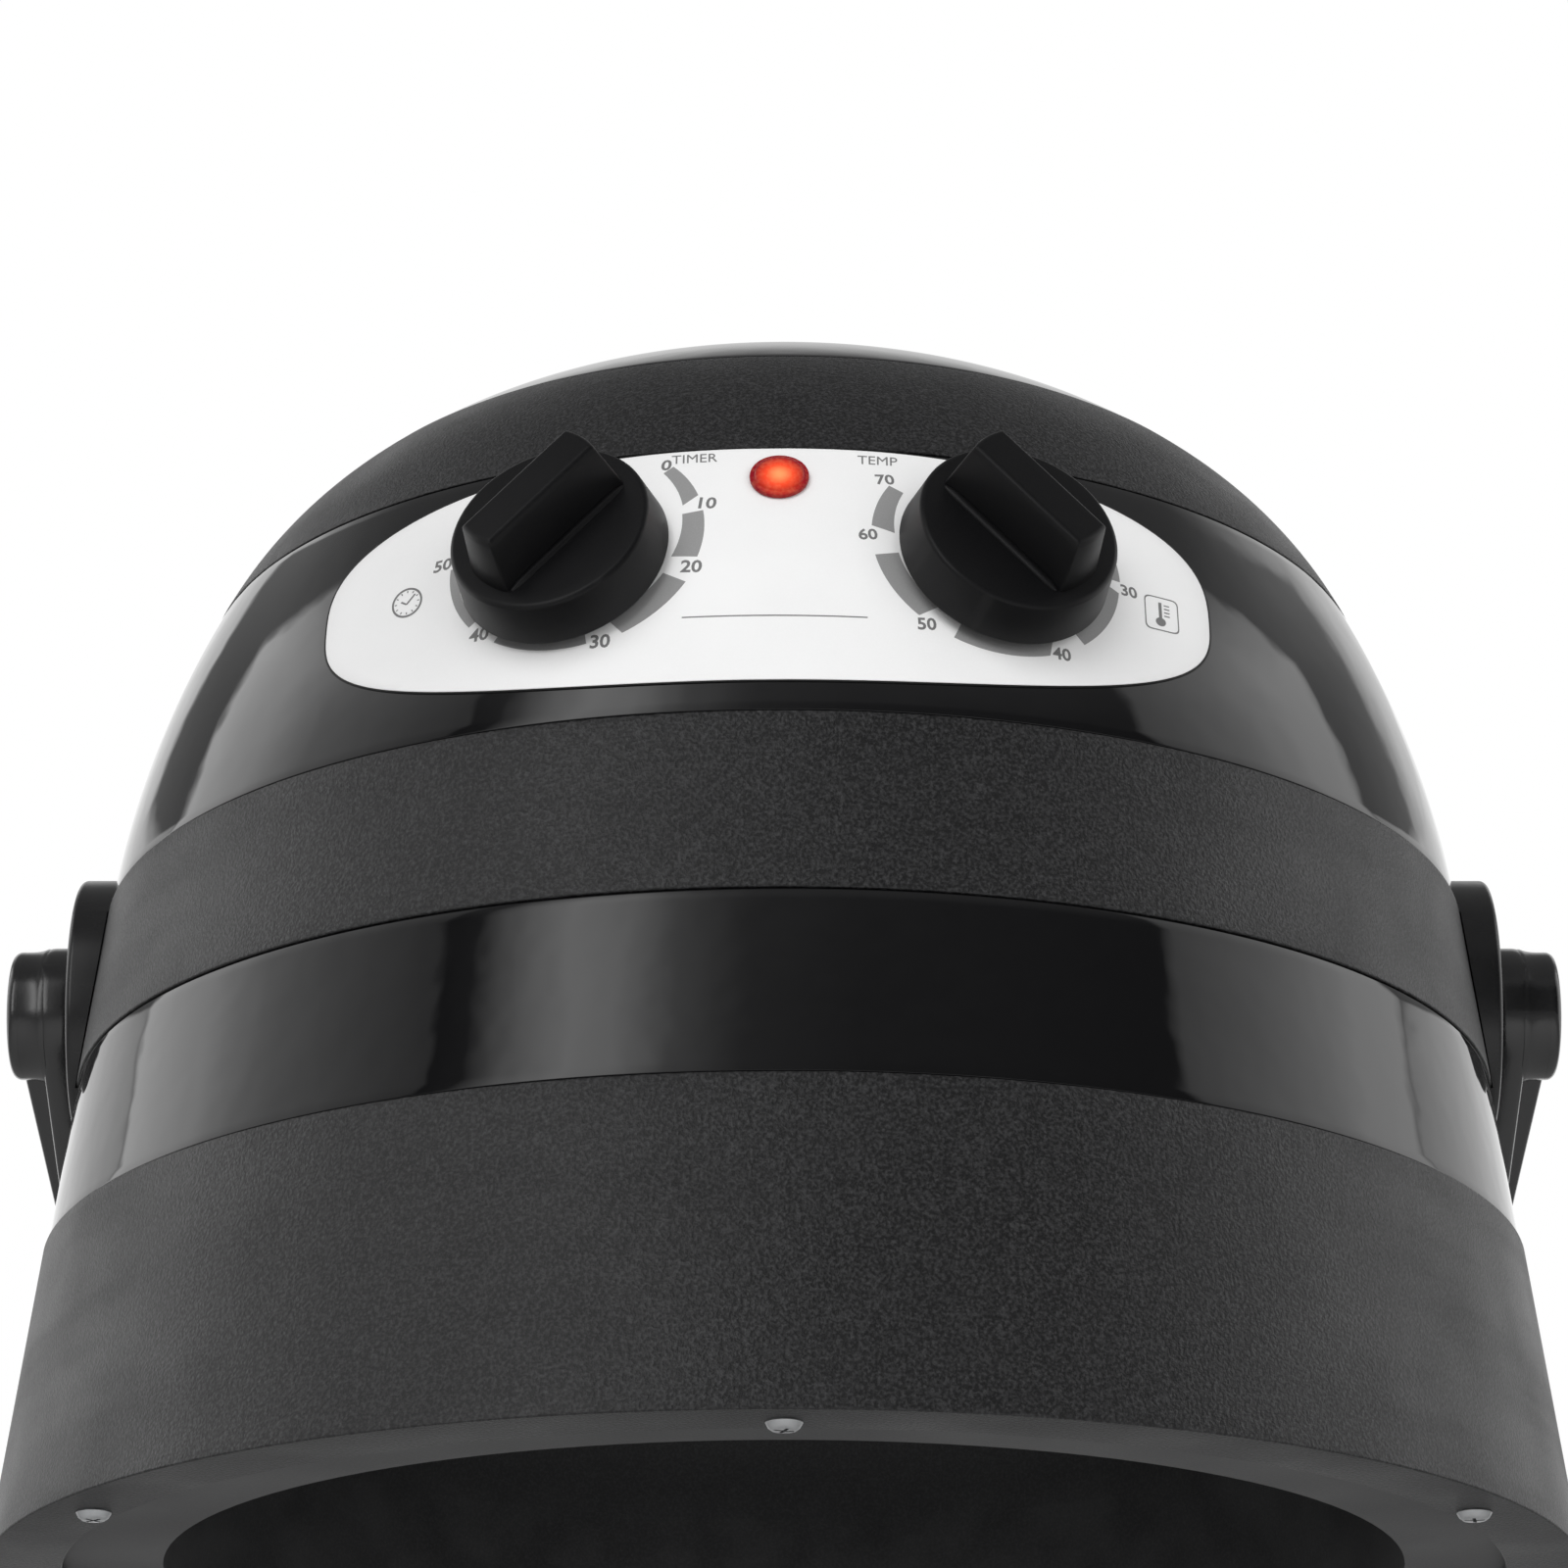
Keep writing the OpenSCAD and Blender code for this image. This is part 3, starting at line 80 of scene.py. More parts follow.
HERE = Matrix.Identity(4)
MERGE = 1e-7  # metres under which two points are one
ON_AXIS = 1e-6  # radius under which a profile's point is a pole
ARM_FOOT = 12.0  # distance from the pole's axis at which the yoke's arms end


class Turn(Enum):
    """Which way a mirrored pair's member sits, seen from the front."""

    LEFT = -1
    RIGHT = 1


class Slot(Enum):
    """The record's material slots, one named with each scene piece."""

    GLOSS = "gloss_black"
    GRAIN = "grained_grey"
    SATIN = "satin_black"
    INNER = "inner_plastic"
    SCREW = "zinc_steel"
    PANEL = "panel_white"
    LAMP = "lamp_red"
    KNOB = "knob_black"
    YOKE = "yoke_black"
    BASE = "base_steel"
    CASTOR = "castor_black"
    WHEEL = "castor_wheel"


# ---- places


def grey(value: float) -> Colour:
    """A neutral colour."""
    return (value, value, value)


def node_middle(node: str) -> Vector:
    """Middle of a CAD node's box, in millimetres."""
    low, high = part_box(node)
    return (low + high) / 2 / MM


def turned(angle: float, axis: str) -> Matrix:
    """A turn about one axis through the origin."""
    return Matrix.Rotation(radians(angle), 4, axis)


def moved(x: float, y: float, z: float) -> Matrix:
    """A move in millimetres."""
    return Matrix.Translation((x, y, z))


def polar(radius: float, turn: float, centre: Flat = (0.0, 0.0)) -> Flat:
    """Point at an angle in radians round a centre."""
    return (centre[0] + radius * cos(turn), centre[1] + radius * sin(turn))


def circle(radius: float, count: int = 48, centre: Flat = (0.0, 0.0)) -> Profile:
    """Points round a circle."""
    return [polar(radius, 2 * pi * i / count, centre) for i in range(count)]


def quarter(count: int, first: int = 0) -> Profile:
    """Cosine and sine at the steps of a quarter turn, from a first step on."""
    turns = [radians(90.0 * i / count) for i in range(first, count + 1)]
    return [(cos(t), sin(t)) for t in turns]


def rectangle(low: Flat, high: Flat) -> Profile:
    """Corners of a rectangle, given two opposite ones."""
    return [low, (high[0], low[1]), high, (low[0], high[1])]


@dataclass(frozen=True)
class Outline:
    """The hood's outline in millimetres: a leaning wall, then four tangent curves up to the axis.

    Heights are hood heights, measured from the tilt pivots.
    """

    hood_radius: float = 166.4
    wall_lean: float = 7.5
    side_radius: float = 221.0
    side_end: float = 28.7
    shoulder_radius: float = 100.0
    shoulder_end: float = 48.8
    brow_radius: float = 132.0
    brow_end: float = 73.0
    rim_low: float = -143.0
    skirt_top: float = -68.0
    band_low: float = -25.1
    band_top: float = 17.7
    shoulder_low: float = 90.0
    crown_low: float = 126.9

    def arcs(self) -> list[tuple[Flat, float, float, float]]:
        """Lists the curves above the band, from the lowest up to the crown.

        Returns:
            Each one's start point, radius, and lean at its two ends in degrees.
        """
        rows: list[tuple[Flat, float, float, float]] = []
        start: Flat = (self.hood_radius, self.band_top)
        lean = self.wall_lean
        for radius, end in (
            (self.side_radius, self.side_end),
            (self.shoulder_radius, self.shoulder_end),
            (self.brow_radius, self.brow_end),
        ):
            rows.append((start, radius, lean, end))
            start = self.on_arc(start, radius, lean, end, 0.0)
            lean = end
        crown = start[0] / cos(radians(lean))
        rows.append((start, crown, lean, 90.0))
        return rows

    @staticmethod
    def on_arc(start: Flat, radius: float, lean: float, now: float, off: float) -> Flat:
        """Point of a curve at a lean.

        Args:
            start: the curve's first point.
            radius: its radius.
            lean: its lean at the first point, in degrees.
            now: the lean at the point wanted.
            off: distance outwards from the curve.

        Returns:
            Radius and height.
        """
        a, b = radians(lean), radians(now)
        return (
            start[0] + radius * (cos(b) - cos(a)) + off * cos(b),
            start[1] + radius * (sin(b) - sin(a)) + off * sin(b),
        )

    def lean_at(self, height: float, off: float = 0.0) -> float:
        """Lean of the outline in degrees at a hood height.

        Args:
            height: hood height in millimetres.
            off: distance outwards from the outline.

        Returns:
            The lean from the vertical.
        """
        for start, radius, lean, end in self.arcs():
            if height <= self.on_arc(start, radius, lean, lean, off)[1]:
                return lean
            if height <= self.on_arc(start, radius, lean, end, off)[1]:
                rise = (height - start[1] + radius * sin(radians(lean))) / (radius + off)
                return degrees(asin(min(1.0, rise)))
        return 90.0

    def radius_at(self, height: float, off: float = 0.0) -> float:
        """Radius of the outline at a hood height.

        Args:
            height: hood height in millimetres.
            off: distance outwards from the outline.

        Returns:
            The radius, 0 above the crown.
        """
        first = self.arcs()[0]
        if height <= self.on_arc(first[0], first[1], first[2], first[2], off)[1]:
            slope = radians(self.wall_lean)
            run = (self.band_top - height) * tan(slope)
            return self.hood_radius + run + off / cos(slope)
        lean = self.lean_at(height, off)
        for start, radius, low, high in self.arcs():
            if lean <= high:
                return self.on_arc(start, radius, low, lean, off)[0]
        return 0.0

    def crown_top(self, off: float = 0.0) -> float:
        """Hood height of the outline on the axis."""
        start, radius, lean, end = self.arcs()[-1]
        return self.on_arc(start, radius, lean, end, off)[1]

    def height_at(self, radius: float, off: float = 0.0) -> float:
        """Hood height at which the upper outline has a radius.

        Args:
            radius: distance from the hood's axis.
            off: distance outwards from the outline.

        Returns:
            The hood height in millimetres.
        """
        low, high = self.band_top, self.crown_top(off)
        for _ in range(48):
            middle = (low + high) / 2
            if self.radius_at(middle, off) > radius:
                low = middle
            else:
                high = middle
        return (low + high) / 2

    def face(self, low: float, high: float, off: float, step: float = 2.0) -> Profile:
        """Points up the outline from one hood height to another.

        Args:
            low: first hood height.
            high: last hood height.
            off: distance outwards from the outline.
            step: greatest distance between points.

        Returns:
            Radius and height pairs.
        """
        count = max(2, int(ceil(abs(high - low) / step)))
        heights = [low + (high - low) * i / count for i in range(count + 1)]
        return [(self.radius_at(z, off), z) for z in heights]


OUTLINE = Outline()


@dataclass(frozen=True)
class Frame:
    """Where the sub-assemblies stand in the row frame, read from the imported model."""

    hood_y: float
    pivot_z: float
    yoke_drop: float = 30.0
    gland_height: float = 52.0

    @classmethod
    def read(cls) -> "Frame":
        """Places taken from the boxes of the crown and the tilt bolts."""
        return cls(hood_y=node_middle("crown_cap").y, pivot_z=node_middle("pivot_bolts").z)

    def hood(self) -> Matrix:
        """Hood frame: origin on the pivot line, z up the hood's axis."""
        return moved(0.0, self.hood_y, self.pivot_z)

    def shell(self, azimuth: float, height: float) -> Matrix:
        """Place on the hood's shell, local z pointing out of it, local y up along it."""
        place = self.hood() @ turned(azimuth, "Z") @ moved(0.0, -OUTLINE.radius_at(height), height)
        return place @ turned(90.0 - OUTLINE.lean_at(height), "X")

    def gland(self) -> Matrix:
        """Place on the back of the control shell where the cord would enter."""
        z = self.gland_height
        return self.hood() @ moved(0, OUTLINE.radius_at(z), z) @ turned(-90, "X")

    def pivot(self, side: Turn) -> Matrix:
        """Local z points outwards along the pivot line."""
        return self.hood() @ turned(90.0 * side.value, "Y")

    def yoke(self) -> Matrix:
        """Local y runs along the yoke's arms, local z is square to its plane."""
        return self.hood() @ turned(-self.yoke_drop, "X")

    @property
    def yoke_reach(self) -> float:
        """Distance from the pivot line to the hub's middle."""
        return -self.hood_y / cos(radians(self.yoke_drop))

    @property
    def hub_z(self) -> float:
        """Height of the hub's middle."""
        return self.pivot_z - self.yoke_reach * sin(radians(self.yoke_drop))


PLACES = Frame.read()


# ---- mesh making


class Form:
    """A mesh under construction, in millimetres, placed by a matrix."""

    def __init__(self, place: Matrix = HERE) -> None:
        """Starts empty.

        Args:
            place: where it stands in the row frame.
        """
        self.place = place
        self.points: list[Vector] = []
        self.faces: list[tuple[int, ...]] = []

    def ring(self, points: Sequence[Sequence[float]], place: Matrix = HERE) -> list[int]:
        """Adds points.

        Args:
            points: local coordinates.
            place: a matrix used before the form's own.

        Returns:
            The new points' numbers.
        """
        first = len(self.points)
        self.points.extend(self.place @ place @ Vector(p) for p in points)
        return list(range(first, len(self.points)))

    def bridge(self, low: Sequence[int], high: Sequence[int]) -> None:
        """Closes the band between two rings.

        Args:
            low: point numbers of one ring, or of a single point.
            high: point numbers of the other.
        """
        if len(low) == 1 and len(high) == 1:
            return
        count = max(len(low), len(high))
        for i in range(count):
            j = (i + 1) % count
            if len(low) == 1:
                self.faces.append((low[0], high[j], high[i]))
            elif len(high) == 1:
                self.faces.append((low[i], low[j], high[0]))
            else:
                self.faces.append((low[i], low[j], high[j], high[i]))

    def skin(self, rows: Sequence[Sequence[int]], closed: bool = False) -> "Form":
        """Closes the bands between rings in a row.

        Args:
            rows: point numbers of each ring.
            closed: whether the last ring joins the first.

        Returns:
            This form.
        """
        for low, high in zip(rows, rows[1:]):
            self.bridge(low, high)
        if closed:
            self.bridge(rows[-1], rows[0])
        return self

    def add(self, other: "Form") -> "Form":
        """Takes in another form's surface.

        Args:
            other: the other form.

        Returns:
            This form.
        """
        first = len(self.points)
        self.points.extend(other.points)
        self.faces.extend(tuple(first + i for i in face) for face in other.faces)
        return self

    def loft(self, rings: Sequence[Sequence[Sequence[float]]], place: Matrix = HERE) -> "Form":
        """Skins a row of rings with the same number of points and closes both ends.

        Args:
            rings: each ring's local coordinates.
            place: a matrix used before the form's own.

        Returns:
            This form.
        """
        rows = [self.ring(r, place) for r in rings]
        self.skin(rows)
        self.faces += [tuple(reversed(rows[0])), tuple(rows[-1])]
        return self

    def revolve(
        self,
        profile: Sequence[Flat],
        segments: int = 128,
        place: Matrix = HERE,
        closed: bool = True,
    ) -> "Form":
        """Turns a profile of radius and height about the local z axis.

        Args:
            profile: points of the profile; those on the axis become poles.
            segments: number of steps round the axis.
            place: a matrix used before the form's own.
            closed: whether the profile's last point joins its first.

        Returns:
            This form.
        """
        rows = []
        for radius, height in profile:
            around = circle(radius, segments) if radius >= ON_AXIS else [(0.0, 0.0)]
            rows.append(self.ring([(x, y, height) for x, y in around], place))
        return self.skin(rows, closed)

    def prism(self, outline: Sequence[Flat], low: float, high: float) -> "Form":
        """Raises a flat outline from one local height to another."""
        return self.loft([[(x, y, z) for x, y in outline] for z in (low, high)])

    def piece(self, name: str, sharp: float = 35.0) -> Object:
        """Makes an object of this form at the scene's origin, in metres, faces outwards.

        Args:
            name: the object's name.
            sharp: angle in degrees above which an edge stays sharp.

        Returns:
            The object.
        """
        mesh = bpy.data.meshes.new(name)
        mesh.from_pydata([tuple(p * MM) for p in self.points], [], self.faces)
        tidy_mesh(mesh, sharp)
        return placed(name, mesh)


def placed(name: str, data: bpy.types.ID) -> Object:
    """Puts a new object with this data into the scene.

    Args:
        name: the object's name.
        data: its mesh, light, camera or text.

    Returns:
        The object.
    """
    obj = bpy.data.objects.new(name, data)
    bpy.context.scene.collection.objects.link(obj)
    return obj


def tidy_mesh(mesh: bpy.types.Mesh, sharp: float = 35.0) -> None:
    """Merges doubles, turns faces outwards and marks the sharp edges of a closed mesh.

    Args:
        mesh: the mesh to tidy.
        sharp: angle in degrees above which an edge stays sharp.
    """
    work = bmesh.new()
    work.from_mesh(mesh)
    bmesh.ops.remove_doubles(work, verts=work.verts, dist=MERGE)
    bmesh.ops.recalc_face_normals(work, faces=work.faces)
    work.to_mesh(mesh)
    work.free()
    for polygon in mesh.polygons:
        polygon.use_smooth = True
    mesh.set_sharp_from_angle(angle=radians(sharp))


def solid_mesh(obj: Object) -> bpy.types.Mesh:
    """Returns a new mesh of an object as its modifiers or text leave it."""
    bpy.context.view_layer.update()
    return bpy.data.meshes.new_from_object(obj.evaluated_get(bpy.context.evaluated_depsgraph_get()))


def settle(obj: Object, sharp: float = 35.0, tidy: bool = False) -> Object:
    """Turns an object's modifiers into plain mesh.

    Args:
        obj: the object, at the scene's origin.
        sharp: angle in degrees above which an edge stays sharp.
        tidy: whether doubles are merged and normals made again.

    Returns:
        The same object, without modifiers.
    """
    made, old = solid_mesh(obj), obj.data
    obj.modifiers.clear()
    obj.data = made
    made.name = obj.name
    bpy.data.meshes.remove(old)
    if tidy:
        tidy_mesh(made, sharp)
    else:
        made.set_sharp_from_angle(angle=radians(sharp))
    return obj


def bevelled(obj: Object, width: float, segments: int, above: float = 40.0) -> Object:
    """Rounds an object's sharp edges.

    Args:
        obj: the object.
        width: width of the rounding in millimetres.
        segments: number of steps across it.
        above: angle in degrees above which an edge is rounded.

    Returns:
        The same object, settled.
    """
    bevel = obj.modifiers.new("rounding", "BEVEL")
    bevel.width = width * MM
    bevel.segments = segments
    bevel.limit_method = "ANGLE"
    bevel.angle_limit = radians(above)
    bevel.harden_normals = True
    return settle(obj)


class Cut(Enum):
    """How two solids are joined."""

    JOIN = "UNION"
    TAKE = "DIFFERENCE"


def combined(obj: Object, other: Object, how: Cut, sharp: float = 35.0) -> Object:
    """Joins a solid with another or cuts it, and removes the other.

    Args:
        obj: the solid that stays.
        other: the solid used on it.
        how: the operation.
        sharp: angle in degrees above which an edge stays sharp.

    Returns:
        The first object, settled.
    """
    step = obj.modifiers.new("cut", "BOOLEAN")
    step.operation, step.solver, step.object = how.value, "EXACT", other
    settle(obj, sharp, True)
    bpy.data.objects.remove(other)
    return obj


def bored(
    obj: Object, place: Matrix, radius: float, low: float, high: float, count: int = 64
) -> Object:
    """Cuts a round hole along a place's local z axis.

    Args:
        obj: the solid.
        place: the hole's place.
        radius: the hole's radius.
        low: where the hole starts on the axis.
        high: where it ends.
        count: number of its sides.

    Returns:
        The same object, settled.
    """
    rod = Form(place).prism(circle(radius, count), low, high).piece("cutter")
    return combined(obj, rod, Cut.TAKE)


def metre(place: Matrix) -> Matrix:
    """Fits a placing to a mesh that is already in metres.

    Args:
        place: the turn and move, in millimetres.

    Returns:
        The same turn and move, in metres.
    """
    made = place.copy()
    made.translation = place.translation * MM
    return made


def rounded(points: Sequence[Flat], radius: float, steps: int = 4) -> Profile:
    """Rounds the corners of a closed flat outline.

    Args:
        points: corners in order.
        radius: corner radius, made smaller where a side is short.
        steps: number of steps along each corner.

    Returns:
        The rounded outline.
    """
    out: Profile = []
    count = len(points)
    for i, corner in enumerate(points):
        here = Vector(corner)
        before, after = Vector(points[i - 1]) - here, Vector(points[(i + 1) % count]) - here
        reach = min(radius, before.length * 0.45, after.length * 0.45)
        start, end = here + before.normalized() * reach, here + after.normalized() * reach
        for k in range(steps + 1):
            t = k / steps
            spot = start * (1 - t) ** 2 + here * 2 * t * (1 - t) + end * t * t
            out.append((spot.x, spot.y))
    return out


# ---- Geometry Nodes


class Nodes:
    """A node tree under construction."""

    def __init__(self, tree: bpy.types.NodeTree) -> None:
        """Works on a tree."""
        self.tree = tree

    def node(self, kind: str, **values: object) -> Node:
        """Adds a node.

        Args:
            kind: its type.
            values: its properties.

        Returns:
            The node.
        """
        made = self.tree.nodes.new(kind)
        for key, value in values.items():
            setattr(made, key, value)
        return made

    def join(self, value: object, end: Socket) -> None:
        """Links a socket to an input, or sets the input.

        Args:
            value: the socket, or what the input is set to.
            end: the input.
        """
        if isinstance(value, Socket):
            self.tree.links.new(value, end)
        else:
            end.default_value = value

    def math(self, kind: str, *ends: object) -> Socket:
        """Adds a Math node.

        Args:
            kind: its operation.
            ends: sockets or numbers.

        Returns:
            Its result.
        """
        made = self.node("ShaderNodeMath", operation=kind)
        for end, value in zip(made.inputs, ends):
            self.join(value, end)
        return made.outputs[0]

    def either(self, mask: Socket, off: object, on: object) -> Socket:
        """Chooses between two numbers by a mask."""
        left = self.math("MULTIPLY", self.math("SUBTRACT", 1.0, mask), off)
        return self.math("ADD", left, self.math("MULTIPLY", mask, on))

    def span(
        self, value: Socket, within: Flat, low: object, high: object, kind: str = "LINEAR"
    ) -> Socket:
        """Maps a range of a value to another range.

        Args:
            value: the socket to map.
            within: the lowest and highest value.
            low: number or socket that the lowest value becomes.
            high: number or socket that the highest value becomes.
            kind: the way between them.

        Returns:
            The mapped value.
        """
        made = self.node("ShaderNodeMapRange", interpolation_type=kind)
        labels = ("Value", "From Min", "From Max", "To Min", "To Max")
        for label, end in zip(labels, (value, *within, low, high)):
            self.join(end, made.inputs[label])
        return made.outputs[0]


class RingTree(Nodes):
    """Geometry Nodes that set copies of a template round a piece's local z axis.

    The copies join the piece's own mesh or are cut out of it.
    """

    TAKES = {
        "Template": "NodeSocketObject", "Count": "NodeSocketInt",
        "First angle": "NodeSocketFloat", "Finish": "NodeSocketMaterial",
    }

    def __init__(self, name: str, how: Cut) -> None:
        """Builds the tree, which ends in Realize Instances and Set Material.

        Args:
            name: the tree's name.
            how: what is done with the copies.
        """
        super().__init__(bpy.data.node_groups.new(name, "GeometryNodeTree"))
        self.tree.is_modifier = True
        face = self.tree.interface
        for way in ("OUTPUT", "INPUT"):
            face.new_socket("Geometry", in_out=way, socket_type="NodeSocketGeometry")
        self.sockets = {
            label: face.new_socket(label, in_out="INPUT", socket_type=kind).identifier
            for label, kind in self.TAKES.items()
        }
        self.start = self.node("NodeGroupInput").outputs
        if how is Cut.JOIN:
            step = self.node("GeometryNodeJoinGeometry")
            ends = (step.inputs[0], step.inputs[0])
        else:
            step = self.node("GeometryNodeMeshBoolean", operation=how.value, solver="MANIFOLD")
            ends = (step.inputs["Mesh 2"], step.inputs["Mesh 1"])
        self.join(self.copies(), ends[0])
        self.join(self.start["Geometry"], ends[1])
        real = self.node("GeometryNodeRealizeInstances")
        self.join(step.outputs[0], real.inputs[0])
        paint = self.node("GeometryNodeSetMaterial")
        self.join(real.outputs[0], paint.inputs["Geometry"])
        self.join(self.start["Finish"], paint.inputs["Material"])
        self.join(paint.outputs[0], self.node("NodeGroupOutput").inputs[0])

    def copies(self) -> Socket:
        """Adds the nodes that set the copies round the axis.

        Returns:
            The copies, realized.
        """
        template = self.node("GeometryNodeObjectInfo", transform_space="ORIGINAL")
        self.join(self.start["Template"], template.inputs["Object"])
        points = self.node("GeometryNodePoints")
        self.join(self.start["Count"], points.inputs["Count"])
        step = self.math("DIVIDE", 2 * pi, self.start["Count"])
        along = self.math("MULTIPLY", self.node("GeometryNodeInputIndex").outputs[0], step)
        turn = self.node("ShaderNodeCombineXYZ")
        self.join(self.math("ADD", along, self.start["First angle"]), turn.inputs["Z"])
        place = self.node("GeometryNodeInstanceOnPoints")
        self.join(points.outputs[0], place.inputs["Points"])
        self.join(template.outputs["Geometry"], place.inputs["Instance"])
        self.join(turn.outputs[0], place.inputs["Rotation"])
        real = self.node("GeometryNodeRealizeInstances")
        self.join(place.outputs[0], real.inputs[0])
        return real.outputs[0]

    def apply(
        self, obj: Object, template: Object, count: int, finish: Material, first: float = 0.0
    ) -> None:
        """Runs the tree on an object, keeps plain mesh and removes the template.

        Args:
            obj: the object to run on.
            template: the object that is copied.
            count: number of copies.
            finish: the material.
            first: angle of the first copy, in radians.
        """
        step = obj.modifiers.new(self.tree.name, "NODES")
        step.node_group = self.tree
        for label, value in zip(self.TAKES, (template, count, first, finish)):
            step[self.sockets[label]] = value
        settle(obj, tidy=True)
        bpy.data.objects.remove(template)


# ---- shared shader effects


class Effect(Nodes):
    """A shader node group with named inputs and outputs, placed in each material that uses it."""

    def __init__(self, name: str, takes: dict[str, float], gives: Sequence[str]) -> None:
        """Starts the group.

        Args:
            name: the group's name.
            takes: number inputs with their usual values; Vector is always there.
            gives: the number outputs.
        """
        super().__init__(bpy.data.node_groups.new(name, "ShaderNodeTree"))
        face = self.tree.interface
        face.new_socket("Vector", in_out="INPUT", socket_type="NodeSocketVector")
        for label, value in takes.items():
            made = face.new_socket(label, in_out="INPUT", socket_type="NodeSocketFloat")
            made.default_value = value
        for label in gives:
            face.new_socket(label, in_out="OUTPUT", socket_type="NodeSocketFloat")
        self.start = self.node("NodeGroupInput").outputs
        self.end = self.node("NodeGroupOutput").inputs

    def noise(self, detail: float, rough: float = 0.5, vector: Optional[Socket] = None) -> Socket:
        """Adds a noise texture at the Scale input.

        Args:
            detail: its detail.
            rough: its roughness.
            vector: its coordinates, the Vector input if none.

        Returns:
            Its value.
        """
        made = self.node("ShaderNodeTexNoise")
        ends = (vector or self.start["Vector"], self.start["Scale"], detail, rough)
        for label, end in zip(("Vector", "Scale", "Detail", "Roughness"), ends):
            self.join(end, made.inputs[label])
        return made.outputs["Fac"]


class Effects:
    """The effects that the finishes share, each built once."""

    def __init__(self) -> None:
        """Builds the groups."""
        # Soft cloudy change between two values, for roughness and colour.
        takes = {"Scale": 30.0, "Low": 0.0, "High": 1.0}
        made = self.mottle = Effect("soft mottle", takes, ["Value"])
        cloud = made.span(made.noise(3.0), (0.3, 0.7), made.start["Low"], made.start["High"])
        made.join(cloud, made.end["Value"])

        # Spark-eroded mould grain: a fine height and pale flecks on its peaks.
        takes = {"Scale": 2200.0, "Fleck": 0.5}
        made = self.grain = Effect("mould grain", takes, ["Height", "Fleck"])
        grain = made.noise(2.0, 0.6)
        made.join(grain, made.end["Height"])
        made.join(made.span(grain, (0.42, 0.75), 0.0, made.start["Fleck"]), made.end["Fleck"])

        # Faint wipe marks that make a polished face duller in streaks.
        made = self.handling = Effect("wipe marks", {"Scale": 14.0, "Amount": 0.05}, ["Value"])
        squeeze = made.node("ShaderNodeVectorMath", operation="MULTIPLY")
        made.join(made.start["Vector"], squeeze.inputs[0])
        made.join((1.0, 1.0, 9.0), squeeze.inputs[1])
        streak = made.noise(4.0, vector=squeeze.outputs[0])
        made.join(made.span(streak, (0.48, 0.72), 0.0, made.start["Amount"]), made.end["Value"])

        # Mask of the raised edges that hands and cloths have rubbed.
        made = self.wear = Effect("rubbed edges", {"Scale": 60.0, "Amount": 0.3}, ["Mask"])
        point = made.node("ShaderNodeNewGeometry").outputs["Pointiness"]
        edge = made.span(point, (0.52, 0.62), 0.0, made.start["Amount"])
        patch = made.span(made.noise(3.0), (0.35, 0.65), 0.2, 1.0)
        made.join(made.math("MULTIPLY", edge, patch), made.end["Mask"])


EFFECTS = Effects()


# ---- finishes


class Shade(Nodes):
    """A material under construction round one Principled BSDF, patterned in object coordinates."""

    def __init__(self, name: str) -> None:
        """Starts the material.

        Args:
            name: what it is called.
        """
        self.material = bpy.data.materials.new(name)
        self.material.use_nodes = True
        super().__init__(self.material.node_tree)
        self.skin = self.tree.nodes["Principled BSDF"].inputs
        self.spot = self.node("ShaderNodeTexCoord").outputs["Object"]
        self.normal: Optional[Socket] = None

    def put(
        self, effect: Effect, vector: Optional[Socket] = None, **values: float
    ) -> Sequence[Socket]:
        """Places a shared effect.

        Args:
            effect: the effect.
            vector: coordinates for it, object coordinates if none.
            values: its number inputs.

        Returns:
            Its outputs.
        """
        made = self.node("ShaderNodeGroup", node_tree=effect.tree)
        self.join(vector or self.spot, made.inputs["Vector"])
        for label, value in values.items():
            self.join(value, made.inputs[label])
        return made.outputs

    def constants(self, **values: object) -> None:
        """Sets sockets of the shader, named with underscores for spaces."""
        for label, value in values.items():
            self.join(value, self.skin[label.replace("_", " ")])

    def blend(self, mask: Socket, a: object, b: object) -> Socket:
        """Mixes two colours by a mask.

        Args:
            mask: 0 gives the first colour, 1 the second.
            a: a colour or a socket.
            b: a colour or a socket.

        Returns:
            The mixed colour.
        """
        made = self.node("ShaderNodeMix", data_type="RGBA")
        for place, value in ((0, mask), (6, a), (7, b)):
            self.join((*value, 1.0) if isinstance(value, tuple) else value, made.inputs[place])
        return made.outputs[2]

    def bump(self, height: Socket, depth: float) -> None:
        """Lays a relief over the ones before it.

        Args:
            height: its height.
            depth: its depth in millimetres.
        """
        made = self.node("ShaderNodeBump")
        self.join(depth * MM, made.inputs["Distance"])
        self.join(height, made.inputs["Height"])
        if self.normal is not None:
            self.join(self.normal, made.inputs["Normal"])
        self.normal = made.outputs[0]

    def done(self, colour: Socket, roughness: Socket) -> Material:
        """Links the shader's colour, roughness and relief.

        Args:
            colour: its colour.
            roughness: its roughness.

        Returns:
            The material.
        """
        self.join(colour, self.skin["Base Color"])
        self.join(roughness, self.skin["Roughness"])
        if self.normal is not None:
            self.join(self.normal, self.skin["Normal"])
        return self.material


